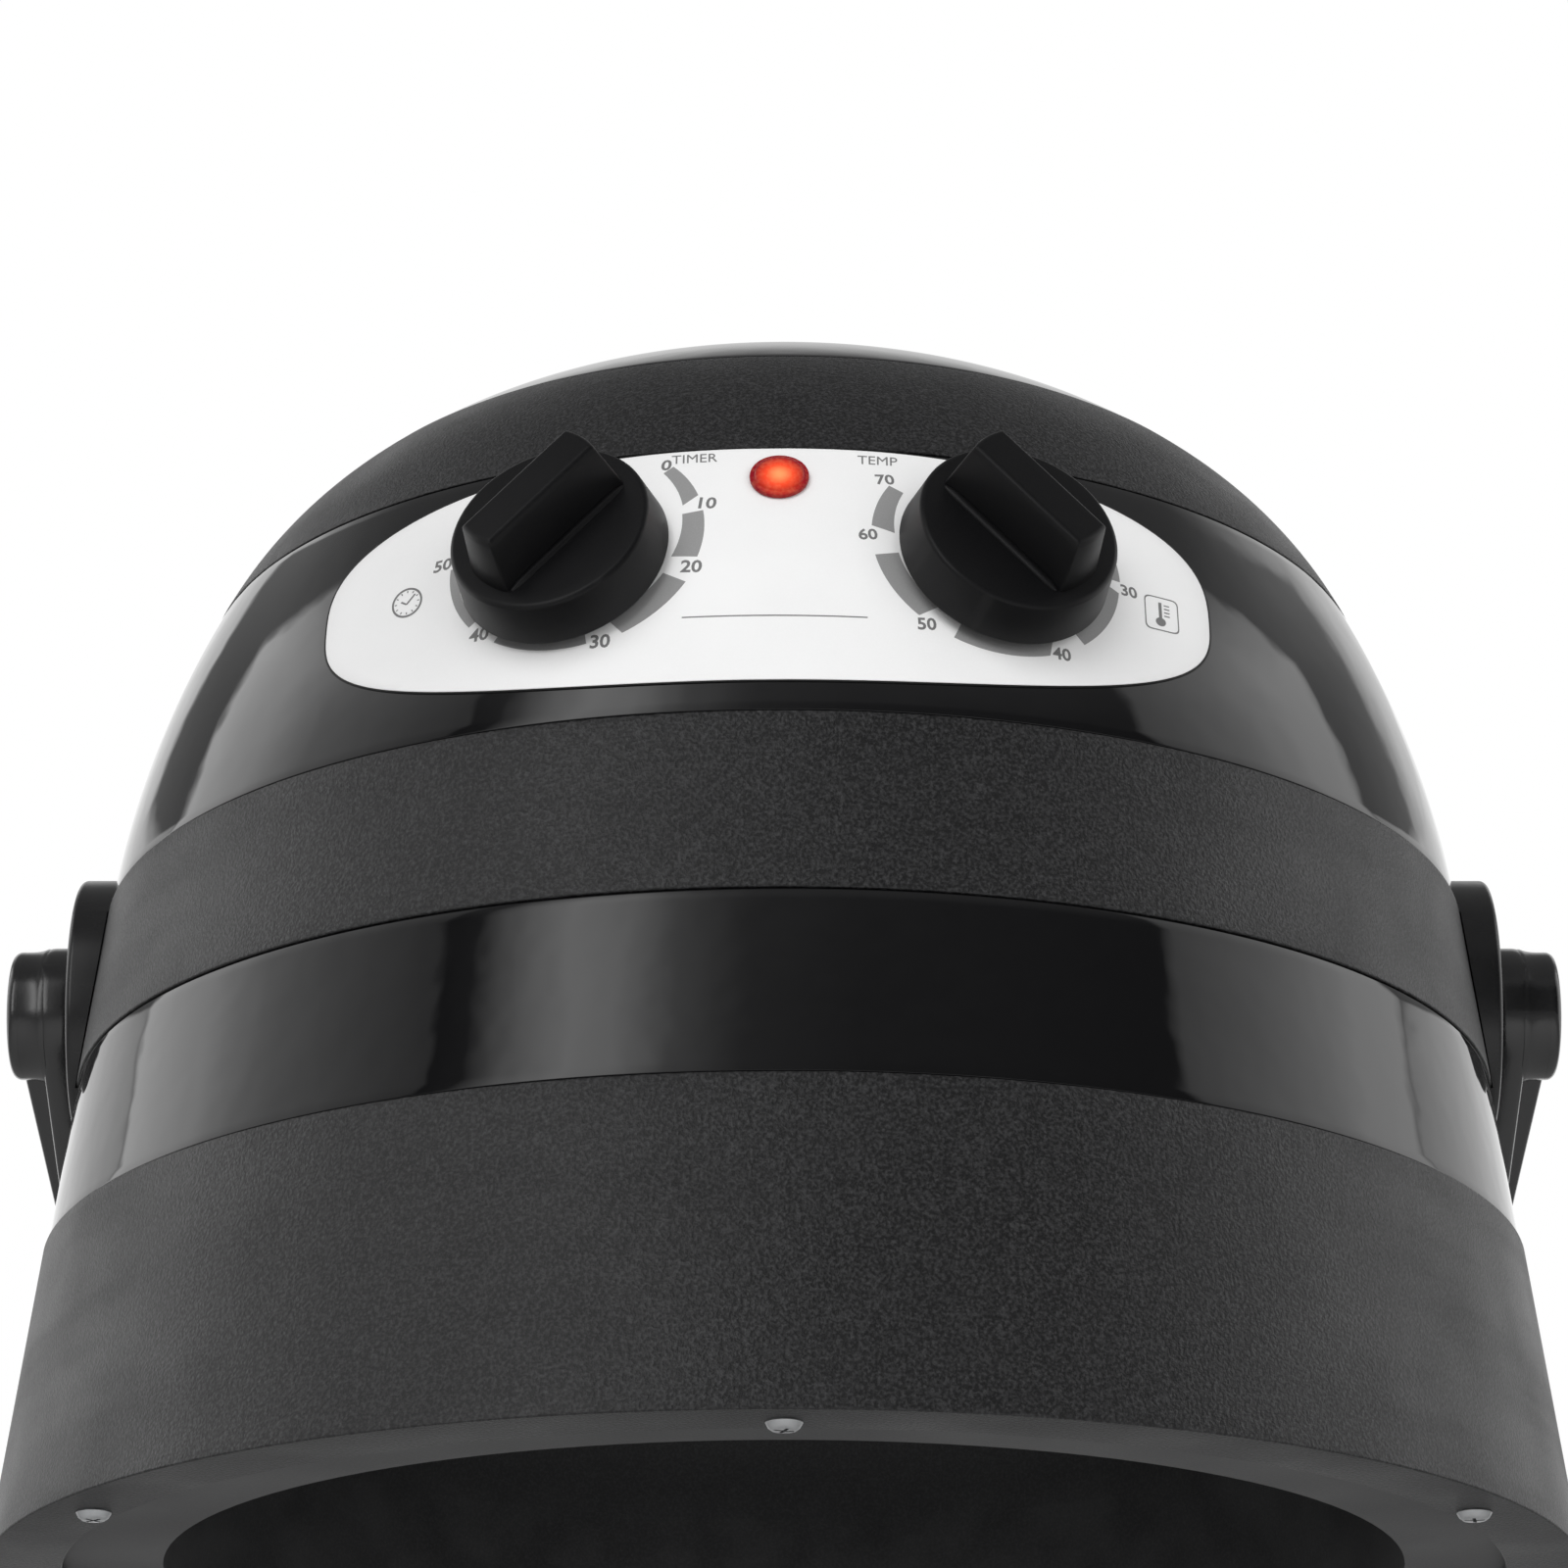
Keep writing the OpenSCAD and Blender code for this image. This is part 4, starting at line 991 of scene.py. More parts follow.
@dataclass(frozen=True)
class Plastic:
    """A moulded plastic or rubber.

    Lengths are millimetres; scales count features per metre.
    """

    name: str
    colour: Colour
    smooth: float
    rough: float
    pale: Colour = grey(0.2)
    fleck: float = 0.2
    grain_scale: float = 2200.0
    grain_depth: float = 0.03
    wave_scale: float = 25.0
    wave_depth: float = 0.0
    marks: float = 0.04
    worn: float = 0.2
    shine: float = 0.5

    def make(self) -> Material:
        """Builds the material.

        Returns:
            The material.
        """
        shade = Shade(self.name)
        shade.constants(Specular_IOR_Level=self.shine)
        grain = shade.put(EFFECTS.grain, Scale=self.grain_scale, Fleck=self.fleck)
        wear = shade.put(EFFECTS.wear, Scale=70.0, Amount=self.worn)
        tint = shade.put(EFFECTS.mottle, Scale=18.0, Low=0.0, High=0.35)
        colour = shade.blend(tint[0], self.colour, tuple(c * 0.8 for c in self.colour))
        colour = shade.blend(grain["Fleck"], colour, self.pale)
        colour = shade.blend(wear[0], colour, self.pale)
        even = shade.put(EFFECTS.mottle, Scale=35.0, Low=self.smooth, High=self.rough)
        wipes = shade.put(EFFECTS.handling, Scale=14.0, Amount=self.marks)
        if self.wave_depth:
            wave = shade.put(EFFECTS.mottle, Scale=self.wave_scale, Low=0.0, High=1.0)
            shade.bump(wave[0], self.wave_depth)
        shade.bump(grain["Height"], self.grain_depth)
        return shade.done(colour, shade.math("ADD", even[0], wipes[0]))


@dataclass(frozen=True)
class Metal:
    """A bare or plated metal with drawn or turned lines.

    Lengths are millimetres; scales count features per metre.
    """

    name: str
    colour: Colour
    smooth: float
    rough: float
    lines: Triple = (900.0, 900.0, 8.0)
    line_depth: float = 0.002
    stain: Colour = (0.3, 0.29, 0.28)
    stains: float = 0.25

    def make(self) -> Material:
        """Builds the material.

        Returns:
            The material.
        """
        shade = Shade(self.name)
        shade.constants(Metallic=1.0)
        stretch = shade.node("ShaderNodeMapping")
        shade.join(self.lines, stretch.inputs["Scale"])
        shade.join(shade.spot, stretch.inputs["Vector"])
        along = stretch.outputs[0]
        drawn = shade.put(EFFECTS.mottle, along, Scale=1.0, Low=0.0, High=1.0)
        cloud = shade.put(EFFECTS.mottle, Scale=22.0, Low=0.0, High=self.stains)
        wear = shade.put(EFFECTS.wear, Scale=90.0, Amount=0.3)
        colour = shade.blend(cloud[0], self.colour, self.stain)
        colour = shade.blend(wear[0], colour, tuple(min(1.0, c * 1.25) for c in self.colour))
        even = shade.put(EFFECTS.mottle, along, Scale=1.0, Low=self.smooth, High=self.rough)
        wipes = shade.put(EFFECTS.handling, Scale=16.0, Amount=0.05)
        shade.bump(drawn[0], self.line_depth)
        return shade.done(colour, shade.math("ADD", even[0], wipes[0]))


@dataclass(frozen=True)
class LampGlow:
    """The indicator's lens: pale orange in the middle, red, then dark red at its rim, and lit."""

    name: str
    centre: Triple
    radius: float = 6.4

    def make(self) -> Material:
        """Builds the material.

        Returns:
            The material.
        """
        shade = Shade(self.name)
        away = shade.node("ShaderNodeVectorMath", operation="DISTANCE")
        shade.join(shade.spot, away.inputs[0])
        shade.join(self.centre, away.inputs[1])
        ramp = shade.node("ShaderNodeValToRGB")
        share = shade.math("DIVIDE", away.outputs["Value"], self.radius * MM)
        shade.join(share, ramp.inputs[0])
        stops = ramp.color_ramp.elements
        stops[0].position, stops[0].color = 0.18, (0.85, 0.27, 0.10, 1.0)
        stops[1].position, stops[1].color = 1.0, (0.2, 0.005, 0.012, 1.0)
        stops.new(0.52).color = (0.75, 0.06, 0.02, 1.0)
        ribs = shade.put(EFFECTS.grain, Scale=900.0, Fleck=0.15)
        colour = shade.blend(ribs["Fleck"], ramp.outputs[0], (0.9, 0.4, 0.2))
        shade.join(ramp.outputs[0], shade.skin["Emission Color"])
        shade.constants(Emission_Strength=0.32, Specular_IOR_Level=0.08)
        shade.bump(ribs["Height"], 0.06)
        even = shade.put(EFFECTS.mottle, Scale=150.0, Low=0.12, High=0.22)
        return shade.done(colour, even[0])


class Palette:
    """Every finish of the dryer, built once."""

    def __init__(self) -> None:
        """Builds the materials."""
        black = (0.006, 0.006, 0.0065)
        self.gloss = Plastic(
            "polished black shell", black, 0.03, 0.05, pale=grey(0.03), fleck=0.02,
            grain_scale=260.0, grain_depth=0.0015, wave_scale=24.0, wave_depth=0.16, marks=0.02,
            worn=0.15,
        ).make()
        self.grain = Plastic(
            "grained grey shell", (0.0062, 0.0062, 0.0066), 0.42, 0.52, pale=(0.05, 0.05, 0.052),
            fleck=0.7, grain_scale=1250.0, grain_depth=0.26, marks=0.05, shine=0.44,
        ).make()
        self.satin = Plastic(
            "satin black moulding", (0.005, 0.005, 0.0055), 0.22, 0.30, pale=grey(0.04),
            fleck=0.14, grain_scale=2600.0, grain_depth=0.018,
        ).make()
        self.knob = Plastic(
            "knob black", (0.004, 0.004, 0.0045), 0.36, 0.44, pale=grey(0.03), fleck=0.12,
            grain_scale=2800.0, grain_depth=0.014, worn=0.3, shine=0.22,
        ).make()
        self.yoke = Plastic(
            "yoke black", (0.005, 0.005, 0.0055), 0.15, 0.22, pale=grey(0.04), fleck=0.14,
            grain_scale=1900.0, grain_depth=0.022, wave_scale=30.0, wave_depth=0.1, shine=0.8,
        ).make()
        self.inner = Plastic(
            "inner shell plastic", (0.020, 0.020, 0.021), 0.48, 0.58, pale=grey(0.1),
            fleck=0.25, grain_scale=1400.0, grain_depth=0.05,
        ).make()
        # Near-black matte finish for the panel's real frame bead: painted shadow of the seam round
        # the panel.
        self.seam_shadow = Plastic(
            "seam shadow black", grey(0.004), 0.6, 0.7, pale=grey(0.02),
        ).make()
        self.panel = Plastic(
            "printed panel white", grey(0.89), 0.42, 0.5, pale=grey(0.92),
            fleck=0.3, grain_scale=2600.0, grain_depth=0.006, marks=0.03, worn=0.0,
        ).make()
        self.ink = Plastic(
            "dial ink grey", grey(0.28), 0.42, 0.5, pale=grey(0.38), fleck=0.25,
            grain_scale=3200.0, grain_depth=0.003, worn=0.0,
        ).make()
        self.ink_dark = Plastic(
            "number ink grey", grey(0.17), 0.42, 0.5, pale=grey(0.26), fleck=0.2,
            grain_scale=3200.0, grain_depth=0.003, worn=0.0,
        ).make()
        self.castor = Plastic(
            "castor nylon", grey(0.012), 0.38, 0.48, grain_scale=1800.0, fleck=0.2,
        ).make()
        self.wheel = Plastic(
            "wheel rubber", grey(0.022), 0.6, 0.75, pale=grey(0.06), fleck=0.25,
            grain_scale=1400.0, grain_depth=0.06, marks=0.05, worn=0.3,
        ).make()
        self.rubber = Plastic(
            "washer rubber", grey(0.03), 0.6, 0.7, grain_scale=1500.0, grain_depth=0.05,
        ).make()
        self.switch = Plastic(
            "switch thermoset", (0.62, 0.60, 0.55), 0.35, 0.45, pale=(0.75, 0.73, 0.68),
            grain_scale=1200.0,
        ).make()
        self.mica = Plastic(
            "mica board", (0.42, 0.34, 0.2), 0.3, 0.55, pale=(0.72, 0.62, 0.42), fleck=0.8,
            grain_scale=320.0, grain_depth=0.08,
        ).make()
        self.chrome = Metal(
            "polished chrome", (0.72, 0.73, 0.75), 0.05, 0.10, lines=(260.0, 260.0, 5.0),
            line_depth=0.0008, stain=(0.5, 0.5, 0.52), stains=0.3,
        ).make()
        self.base = Metal(
            "brushed base steel", (0.56, 0.57, 0.58), 0.26, 0.38, lines=(700.0, 700.0, 900.0),
            line_depth=0.004,
        ).make()
        self.zinc = Metal(
            "zinc plate", (0.50, 0.51, 0.52), 0.28, 0.42, lines=(500.0, 500.0, 500.0),
        ).make()
        self.galvanised = Metal(
            "galvanised sheet", (0.55, 0.57, 0.60), 0.3, 0.55, lines=(90.0, 90.0, 90.0),
            line_depth=0.01, stain=(0.38, 0.40, 0.44), stains=0.6,
        ).make()
        self.motor = Metal(
            "motor steel", (0.34, 0.35, 0.36), 0.3, 0.45, lines=(300.0, 300.0, 20.0),
        ).make()
        self.wire = Metal(
            "heater wire", (0.55, 0.26, 0.14), 0.35, 0.5, lines=(1400.0, 1400.0, 1400.0),
            line_depth=0.25, stain=(0.2, 0.08, 0.05), stains=0.5,
        ).make()
        lamp = node_middle("lamp_lens")
        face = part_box("lamp_lens")[0].y
        self.lamp = LampGlow("lamp lens red", (lamp.x * MM, face, lamp.z * MM)).make()


PALETTE = Palette()


def dress_node(node: str, finish: Material) -> None:
    """Gives a CAD node a finish through its object's slots.

    Args:
        node: its name.
        finish: the material.
    """
    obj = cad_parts[node]
    if not obj.material_slots:
        obj.data.materials.append(None)
    for slot in obj.material_slots:
        slot.link = "OBJECT"
        slot.material = finish


def finished(
    obj: Object, finish: Material, slot: Slot, body: str, *nodes: str
) -> Object:
    """Dresses a piece, hangs it on the body that carries it and hides the CAD nodes it stands for.

    Args:
        obj: the piece.
        finish: its material.
        slot: the record's material slot; not used.
        body: the body that carries it.
        nodes: CAD nodes that it replaces.

    Returns:
        The piece.
    """
    obj.data.materials.clear()
    obj.data.materials.append(finish)
    for polygon in obj.data.polygons:
        polygon.material_index = 0
    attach(obj, body)
    if nodes:
        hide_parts(*nodes)
    LOG.info("%s: %d faces on %s", obj.name, len(obj.data.polygons), body)
    return obj


HOLES = RingTree("ring of holes", Cut.TAKE)
COPIES = RingTree("ring of copies", Cut.JOIN)


# ---- hood shells


@dataclass
class HoodShells:
    """The hood's nesting rings, with rounded edges, joining lips and a fine seam between them."""

    seam: float = 0.07
    edge: float = 0.5
    wall: float = 3.0
    proud: float = 0.5
    brow_proud: float = 0.2
    skirt_proud: float = 0.8
    lip: float = 5.0
    lip_gap: float = 0.2
    lip_wall: float = 1.6
    rim_wall: float = 3.0
    rim_width: float = 17.0
    segments: int = 256
    intake: float = 50.0
    slot: float = 3.0
    slots: tuple[tuple[int, float, float], ...] = ((20, 31.0, 45.0), (10, 11.7, 25.0))
    spindle_bore: float = 5.0
    lamp_bore: float = 5.75
    gland_bore: float = 6.2
    pivot_bore: float = 11.2

    def corner(self, height: float, off: float, up: bool) -> Profile:
        """Rounded outer corner of a ring.

        Args:
            height: hood height of the ring's end.
            off: how far the ring's face stands out from the outline.
            up: whether it is the upper end.

        Returns:
            Radius and height pairs, in order up the ring.
        """
        out = []
        for c, s in quarter(4):
            rise = self.edge * (1 - c)
            z = height + (-rise if up else rise)
            out.append((OUTLINE.radius_at(z, off - self.edge * (1 - s)), z))
        return out[::-1] if up else out

    def lip_profile(self, seat: float, start: float, joint: float, low: float) -> Profile:
        """Up the lip that enters the ring above, and back down the wall's inner face.

        Args:
            seat: hood height of the ring's upper end.
            start: hood height at which the lip's outer face starts.
            joint: hood height of the joint with the ring above.
            low: hood height at which the inner face ends.

        Returns:
            Radius and height pairs.
        """
        outer, top = -self.wall - self.lip_gap, joint + self.lip
        profile = [(OUTLINE.radius_at(seat, outer), seat)] + OUTLINE.face(start, top, outer)
        profile += OUTLINE.face(joint - self.lip, top, outer - self.lip_wall)[::-1]
        return profile + OUTLINE.face(low, joint - self.lip, -self.wall, 6.0)[::-1]

    def ring(self, name: str, low: float, high: float, off: float) -> Object:
        """Makes one ring with the lip that enters the ring above.

        Args:
            name: the piece's name.
            low: hood height of its lower edge.
            high: hood height of its upper edge.
            off: how far it stands proud of the outline.

        Returns:
            The piece, not yet dressed.
        """
        bottom, top = low + self.seam, high - self.seam
        profile = self.corner(bottom, off, False)
        profile += OUTLINE.face(bottom + self.edge, top - self.edge, off)[1:-1]
        profile += self.corner(top, off, True)
        profile += self.lip_profile(top, top + self.lip_gap, high, bottom)
        return self.turned_piece(name, profile)

    def turned_piece(self, name: str, profile: Sequence[Flat]) -> Object:
        """Makes a piece of a profile turned about the hood's axis."""
        return Form(PLACES.hood()).revolve(profile, self.segments).piece(name, 40.0)

    def skirt(self) -> None:
        """Makes the skirt ring with its turned-in rim."""
        low, joint = OUTLINE.rim_low, OUTLINE.skirt_top
        high, off = joint - self.seam, self.skirt_proud
        rim = OUTLINE.radius_at(low, -self.rim_width)
        profile = [(rim, low + 0.5), (OUTLINE.radius_at(low, -self.rim_width + 0.5), low)]
        profile += self.corner(low, off, False)
        profile += OUTLINE.face(low + self.edge, high - self.edge, off, 3.0)[1:-1]
        profile += self.corner(high, off, True)
        profile += self.lip_profile(high, joint, joint, low + self.rim_wall)
        profile.append((rim, low + self.rim_wall))
        skirt = self.turned_piece("skirt_shell", profile)
        finished(skirt, PALETTE.grain, Slot.GRAIN, "hood", "skirt_ring")

    def crown(self) -> None:
        """Makes the crown cap round its air intake."""
        low, hole = OUTLINE.crown_low + self.seam, self.intake + self.lip_gap
        high = OUTLINE.height_at(hole)
        profile = self.corner(low, 0.0, False)
        profile += OUTLINE.face(low + self.edge, high - 0.3, 0.0, 1.0)[1:]
        profile += [(hole, high - 0.5), (hole, OUTLINE.height_at(self.intake, -self.wall))]
        inner_top = OUTLINE.height_at(self.intake + 1.0, -self.wall)
        profile += OUTLINE.face(low, inner_top, -self.wall, 2.0)[::-1]
        crown = self.turned_piece("crown_shell", profile)
        finished(crown, PALETTE.gloss, Slot.GLOSS, "hood", "crown_cap")

    def grille(self) -> None:
        """Makes the air intake with its two rings of slots."""
        edge, middle = self.intake, OUTLINE.crown_top()
        radii = [edge * i / 24 for i in range(24)]
        top = [(r, OUTLINE.height_at(r) if r > 0.5 else middle) for r in radii]
        top += [(edge - 0.4, OUTLINE.height_at(edge - 0.4)), (edge, OUTLINE.height_at(edge) - 0.4)]
        under = [(r, z - self.wall) for r, z in reversed(top[:-1])]
        face = top + [(edge, OUTLINE.height_at(edge) - self.wall)] + under
        obj = Form().revolve(face, 192, closed=False).piece("intake_grating")
        half = self.slot / 2
        for count, near, far in self.slots:
            outline = rounded(rectangle((near, -half), (far, half)), 1.4, 5)
            template = Form().prism(outline, middle - 20, middle + 5).piece("slot_cutter")
            HOLES.apply(obj, template, count, PALETTE.satin)
        obj.data.transform(metre(PLACES.hood()))
        bevelled(obj, 0.35, 2, 50.0)
        finished(obj, PALETTE.satin, Slot.SATIN, "hood", "intake_grille")

    def build(self) -> None:
        """Builds and dresses every ring."""
        line = OUTLINE
        self.crown()
        self.grille()
        shoulder = self.ring("shoulder_shell", line.shoulder_low, line.crown_low, self.brow_proud)
        finished(shoulder, PALETTE.grain, Slot.GRAIN, "hood", "shoulder_ring")
        control = self.ring("control_housing", line.band_top, line.shoulder_low, 0.0)
        for side in Turn:
            control = bored(control, Knob.seat(side), self.spindle_bore, -12, 12)
        control = bored(control, PLACES.shell(Lamp.azimuth, Lamp.height), self.lamp_bore, -12, 12)
        control = bored(control, PLACES.gland(), self.gland_bore, -12, 12)
        finished(control, PALETTE.gloss, Slot.GLOSS, "hood", "control_shell")
        band = self.ring("pivot_band_shell", line.band_low, line.band_top, self.proud)
        for side in Turn:
            band = bored(band, PLACES.pivot(side), self.pivot_bore, 140, 200)
        finished(band, PALETTE.grain, Slot.GRAIN, "hood", "pivot_band")
        lower = self.ring("lower_housing", line.skirt_top, line.band_low, 0.0)
        finished(lower, PALETTE.gloss, Slot.GLOSS, "hood", "lower_shell")
        self.skirt()


# ---- controls


Drop = Callable[[float, float, float], Vector]


def front_drop(x: float, z: float, off: float) -> Vector:
    """Point of the hood's face straight behind a front-view position, in the hood frame."""
    radius = OUTLINE.radius_at(z, off)
    return Vector((x, -sqrt(max(0.0, radius * radius - x * x)), z))


def dial_drop(side: Turn) -> Drop:
    """Makes the rule that lays a dial's flat drawing square onto the shell round its knob.

    Args:
        side: which dial.

    Returns:
        A function from dial coordinates and offset to the hood frame.
    """
    place = PLACES.hood().inverted() @ Knob.seat(side)
    out = place.to_3x3() @ Vector((0, 0, 1))

    def drop(x: float, y: float, off: float) -> Vector:
        """Slides a point along the knob's axis until it lies on the shell.

        Args:
            x: across the dial.
            y: up the dial.
            off: how far it stands off the shell.

        Returns:
            Where it comes to lie, in the hood frame.
        """
        spot = place @ Vector((x, y, 0.0))
        for _ in range(5):
            gap = hypot(spot.x, spot.y) - OUTLINE.radius_at(spot.z, off)
            spot = spot - out * gap * 0.98
        return spot

    return drop


class Print:
    """Thin artwork that follows the shell, collected into one piece."""

    def __init__(self, low: float = 0.40, high: float = 0.49) -> None:
        """Starts with the offsets of the ink's under and upper face."""
        self.form = Form(PLACES.hood())
        self.low, self.high = low, high

    def faces(self, points: Sequence[Flat], faces: Sequence[Sequence[int]], drop: Drop) -> None:
        """Adds a flat drawing with thickness.

        Args:
            points: its points.
            faces: its faces, counter-clockwise.
            drop: how it is laid on the shell.
        """
        top = self.form.ring([drop(x, y, self.high) for x, y in points])
        under = self.form.ring([drop(x, y, self.low) for x, y in points])
        edges: dict[tuple[int, int], int] = {}
        for face in faces:
            self.form.faces.append(tuple(top[i] for i in face))
            self.form.faces.append(tuple(under[i] for i in reversed(face)))
            for a, b in zip(face, list(face[1:]) + [face[0]]):
                edges[(a, b)] = 1
        for a, b in edges:
            if (b, a) not in edges:
                self.form.faces.append((top[b], top[a], under[a], under[b]))

    def band(
        self, one: Sequence[Flat], other: Sequence[Flat], drop: Drop, loop: bool = False
    ) -> None:
        """Fills the strip between two rows of points.

        Args:
            one: the first row.
            other: the second row.
            drop: how it is laid on the shell.
            loop: whether the rows' last points join their first.
        """
        count = len(one)
        steps = count if loop else count - 1
        faces = [(i, (i + 1) % count, count + (i + 1) % count, count + i) for i in range(steps)]
        self.faces(list(one) + list(other), faces, drop)

    def disc(self, outline: Sequence[Flat], drop: Drop) -> None:
        """Fills a small convex outline."""
        self.faces(outline, [tuple(range(len(outline)))], drop)

    def bar(self, a: Flat, b: Flat, width: float, drop: Drop, parts: int = 1) -> None:
        """Draws a straight line.

        Args:
            a: one end.
            b: the other end.
            width: the line's width.
            drop: how it is laid on the shell.
            parts: number of parts along it.
        """
        start, end = Vector(a), Vector(b)
        side = (end - start).normalized().orthogonal() * width / 2
        row = [start + (end - start) * i / parts for i in range(parts + 1)]
        self.band([tuple(p - side) for p in row], [tuple(p + side) for p in row], drop)

    def word(self, text: str, centre: Flat, high: float, drop: Drop, heavy: float = 0.022) -> None:
        """Writes a short text.

        Args:
            text: the letters or digits.
            centre: the middle of the text.
            high: height of its letters.
            drop: how it is laid on the shell.
            heavy: how much its strokes are thickened.
        """
        curve = bpy.data.curves.new(text, "FONT")
        curve.body, curve.resolution_u, curve.offset = text, 3, heavy
        holder = placed(text, curve)
        mesh = solid_mesh(holder)
        work = bmesh.new()
        work.from_mesh(mesh)
        bmesh.ops.remove_doubles(work, verts=work.verts, dist=1e-5)
        for face in work.faces:
            if face.normal.z < 0:
                face.normal_flip()
        spots = [v.co.copy() for v in work.verts]
        faces = [[v.index for v in f.verts] for f in work.faces]
        work.free()
        low_x, high_x = min(p.x for p in spots), max(p.x for p in spots)
        low_y, high_y = min(p.y for p in spots), max(p.y for p in spots)
        size = high / (high_y - low_y)
        x, y = (low_x + high_x) / 2, (low_y + high_y) / 2
        flat = [(centre[0] + (p.x - x) * size, centre[1] + (p.y - y) * size) for p in spots]
        self.faces(flat, faces, drop)
        bpy.data.objects.remove(holder)
        bpy.data.curves.remove(curve)
        bpy.data.meshes.remove(mesh)

    def piece(self, name: str) -> Object:
        """Makes the piece."""
        return self.form.piece(name, 30.0)


@dataclass
class Knob:
    """A dial knob: a low skirt with a bar grip across it, beaded along the bar's foot."""

    side: Turn
    name: str
    body: str
    turn: float
    node: str
    foot: float = 24.7
    top: float = 23.4
    skirt: float = 11.5
    gap: float = 1.6
    grip_high: float = 14.0
    grip_long: tuple[float, float] = (19.5, 17.0)
    grip_wide: tuple[float, float] = (6.4, 4.9)
    skirt_edge: float = 1.3
    grip_edge: float = 1.1
    bead: float = 1.2
    bead_half: float = 17.6
    bead_out: float = 0.5

    azimuth = 18.1
    height = 59.4

    @classmethod
    def seat(cls, side: Turn) -> Matrix:
        """Place of a dial on the shell."""
        return PLACES.shell(side.value * cls.azimuth, cls.height)

    def skirt_profile(self) -> Profile:
        """Profile of the skirt, with the spindle's socket.

        Returns:
            Radius and height pairs.
        """
        low, high, foot = self.gap, self.gap + self.skirt, self.foot
        profile = [(0.0, high - 1.0), (3.05, high - 1.0), (3.05, low), (5.5, low)]
        profile += [(6.5, low + 1.5), (foot - 3.0, low + 1.5), (foot - 2.2, low)]
        profile += [(foot - 0.5, low), (foot - 0.15, low + 0.15), (foot, low + 0.5)]
        for i in range(9):
            turn = radians(5 + 85 * i / 8)
            x, z = self.skirt_edge * (1 - cos(turn)), self.skirt_edge * (1 - sin(turn))
            profile.append((self.top - x, high - z))
        return profile + [(self.top - 4.0, high + 0.05), (12.0, high + 0.15), (0.0, high + 0.2)]

    def grip_outline(self, share: float, inset: float) -> Profile:
        """Outline of the bar grip.

        Args:
            share: share of the grip's height.
            inset: how far the outline is drawn in.

        Returns:
            Points round the grip.
        """
        long = self.grip_long[0] + (self.grip_long[1] - self.grip_long[0]) * share - inset
        wide = self.grip_wide[0] + (self.grip_wide[1] - self.grip_wide[0]) * share - inset
        reach = asin(wide / long)
        ends = (0.0, pi)
        points = [polar(long, end - reach + 2 * reach * i / 12) for end in ends for i in range(13)]
        return rounded(points, 0.6, 3)

    def build(self) -> None:
        """Builds and dresses the knob."""
        form = Form(self.seat(self.side)).revolve(self.skirt_profile(), 160)
        spin, base, edge = turned(self.turn, "Z"), self.gap + self.skirt, self.grip_edge
        stops = [(h, 0.0) for h in (-0.5, 0.0, 3.0, 6.0, 9.0, 12.0)]
        stops += [(self.grip_high - edge + edge * s, edge * (1 - c)) for c, s in quarter(6, 1)]
        rings = []
        for high, inset in stops:
            outline = self.grip_outline(max(0.0, high) / self.grip_high, inset)
            rings.append([(x, y, base + high) for x, y in outline])
        form.loft(rings, spin)
        half = self.bead_half
        for side in (-1, 1):
            foot, row = side * (self.grip_wide[0] + self.bead_out), []
            for i in range(17):
                x = -half + 2 * half * i / 16
                thick = self.bead * max(0.12, 1 - (abs(x) / half) ** 8) ** 0.5
                row.append([(x, foot + a, base + b) for a, b in circle(thick, 16)])
            form.loft(row, spin)
        finished(form.piece(self.name, 28.0), PALETTE.knob, Slot.KNOB, self.body, self.node)


@dataclass(frozen=True)
class DialBlock:
    """One curved block of a dial's ring: angles in degrees, radii in millimetres."""

    start: float
    end: float
    outer: float
    inner: tuple[float, float]
    outer_end: float

    def draw(self, ink: Print, centre: Flat, drop: Drop) -> None:
        """Draws the block, with its end cut back on the outer side.

        Args:
            ink: the print it belongs to.
            centre: the dial's middle.
            drop: how it is laid on the shell.
        """
        count = max(6, int(abs(self.end - self.start) / 3))
        far_row, near_row = [], []
        for i in range(count + 1):
            t = i / count
            outer_turn = radians(self.start + (self.outer_end - self.start) * t)
            inner_turn = radians(self.start + (self.end - self.start) * t)
            near = self.inner[0] + (self.inner[1] - self.inner[0]) * t
            far_row.append(polar(self.outer, outer_turn, centre))
            near_row.append(polar(near, inner_turn, centre))
        rows = (near_row, far_row) if self.end < self.start else (far_row, near_row)
        ink.band(*rows, drop)


TIMER_BLOCKS = (
    DialBlock(47.5, 21, 30.2, (27.3, 26.1), 24.7),
    DialBlock(15, -14.6, 30.2, (25.5, 24.5), -12.0),
    DialBlock(-26, -65.5, 30.8, (24.9, 24.9), -61.5),
    DialBlock(-77.2, -122, 30.0, (25.8, 25.8), -122.0),
    DialBlock(-139, -178, 30.2, (28.0, 28.0), -178.0),
)
HEAT_BLOCKS = (
    DialBlock(142.5, 173, 29.4, (25.7, 24.2), 169.8),
    DialBlock(187, 228, 29.4, (24.0, 24.0), 224.3),
    DialBlock(242.4, 293.5, 29.4, (24.4, 25.1), 287.5),
    DialBlock(307, 350, 29.4, (25.2, 26.7), 348.0),
    DialBlock(355, 380, 29.7, (26.3, 28.0), 380.0),
)
TIMER_NUMBERS = {
    "0": (19.4, 28.6), "10": (30.6, 15.8), "20": (29.2, -3.4),
    "30": (10.5, -23.2), "40": (-19.2, -16.7), "50": (-31.9, 6.9),
}
HEAT_NUMBERS = {
    "70": (-24.0, 23.5), "60": (-30.1, 6.1), "50": (-19.5, -19.2), "40": (11.7, -23.5),
    "30": (31.6, -1.1),
}


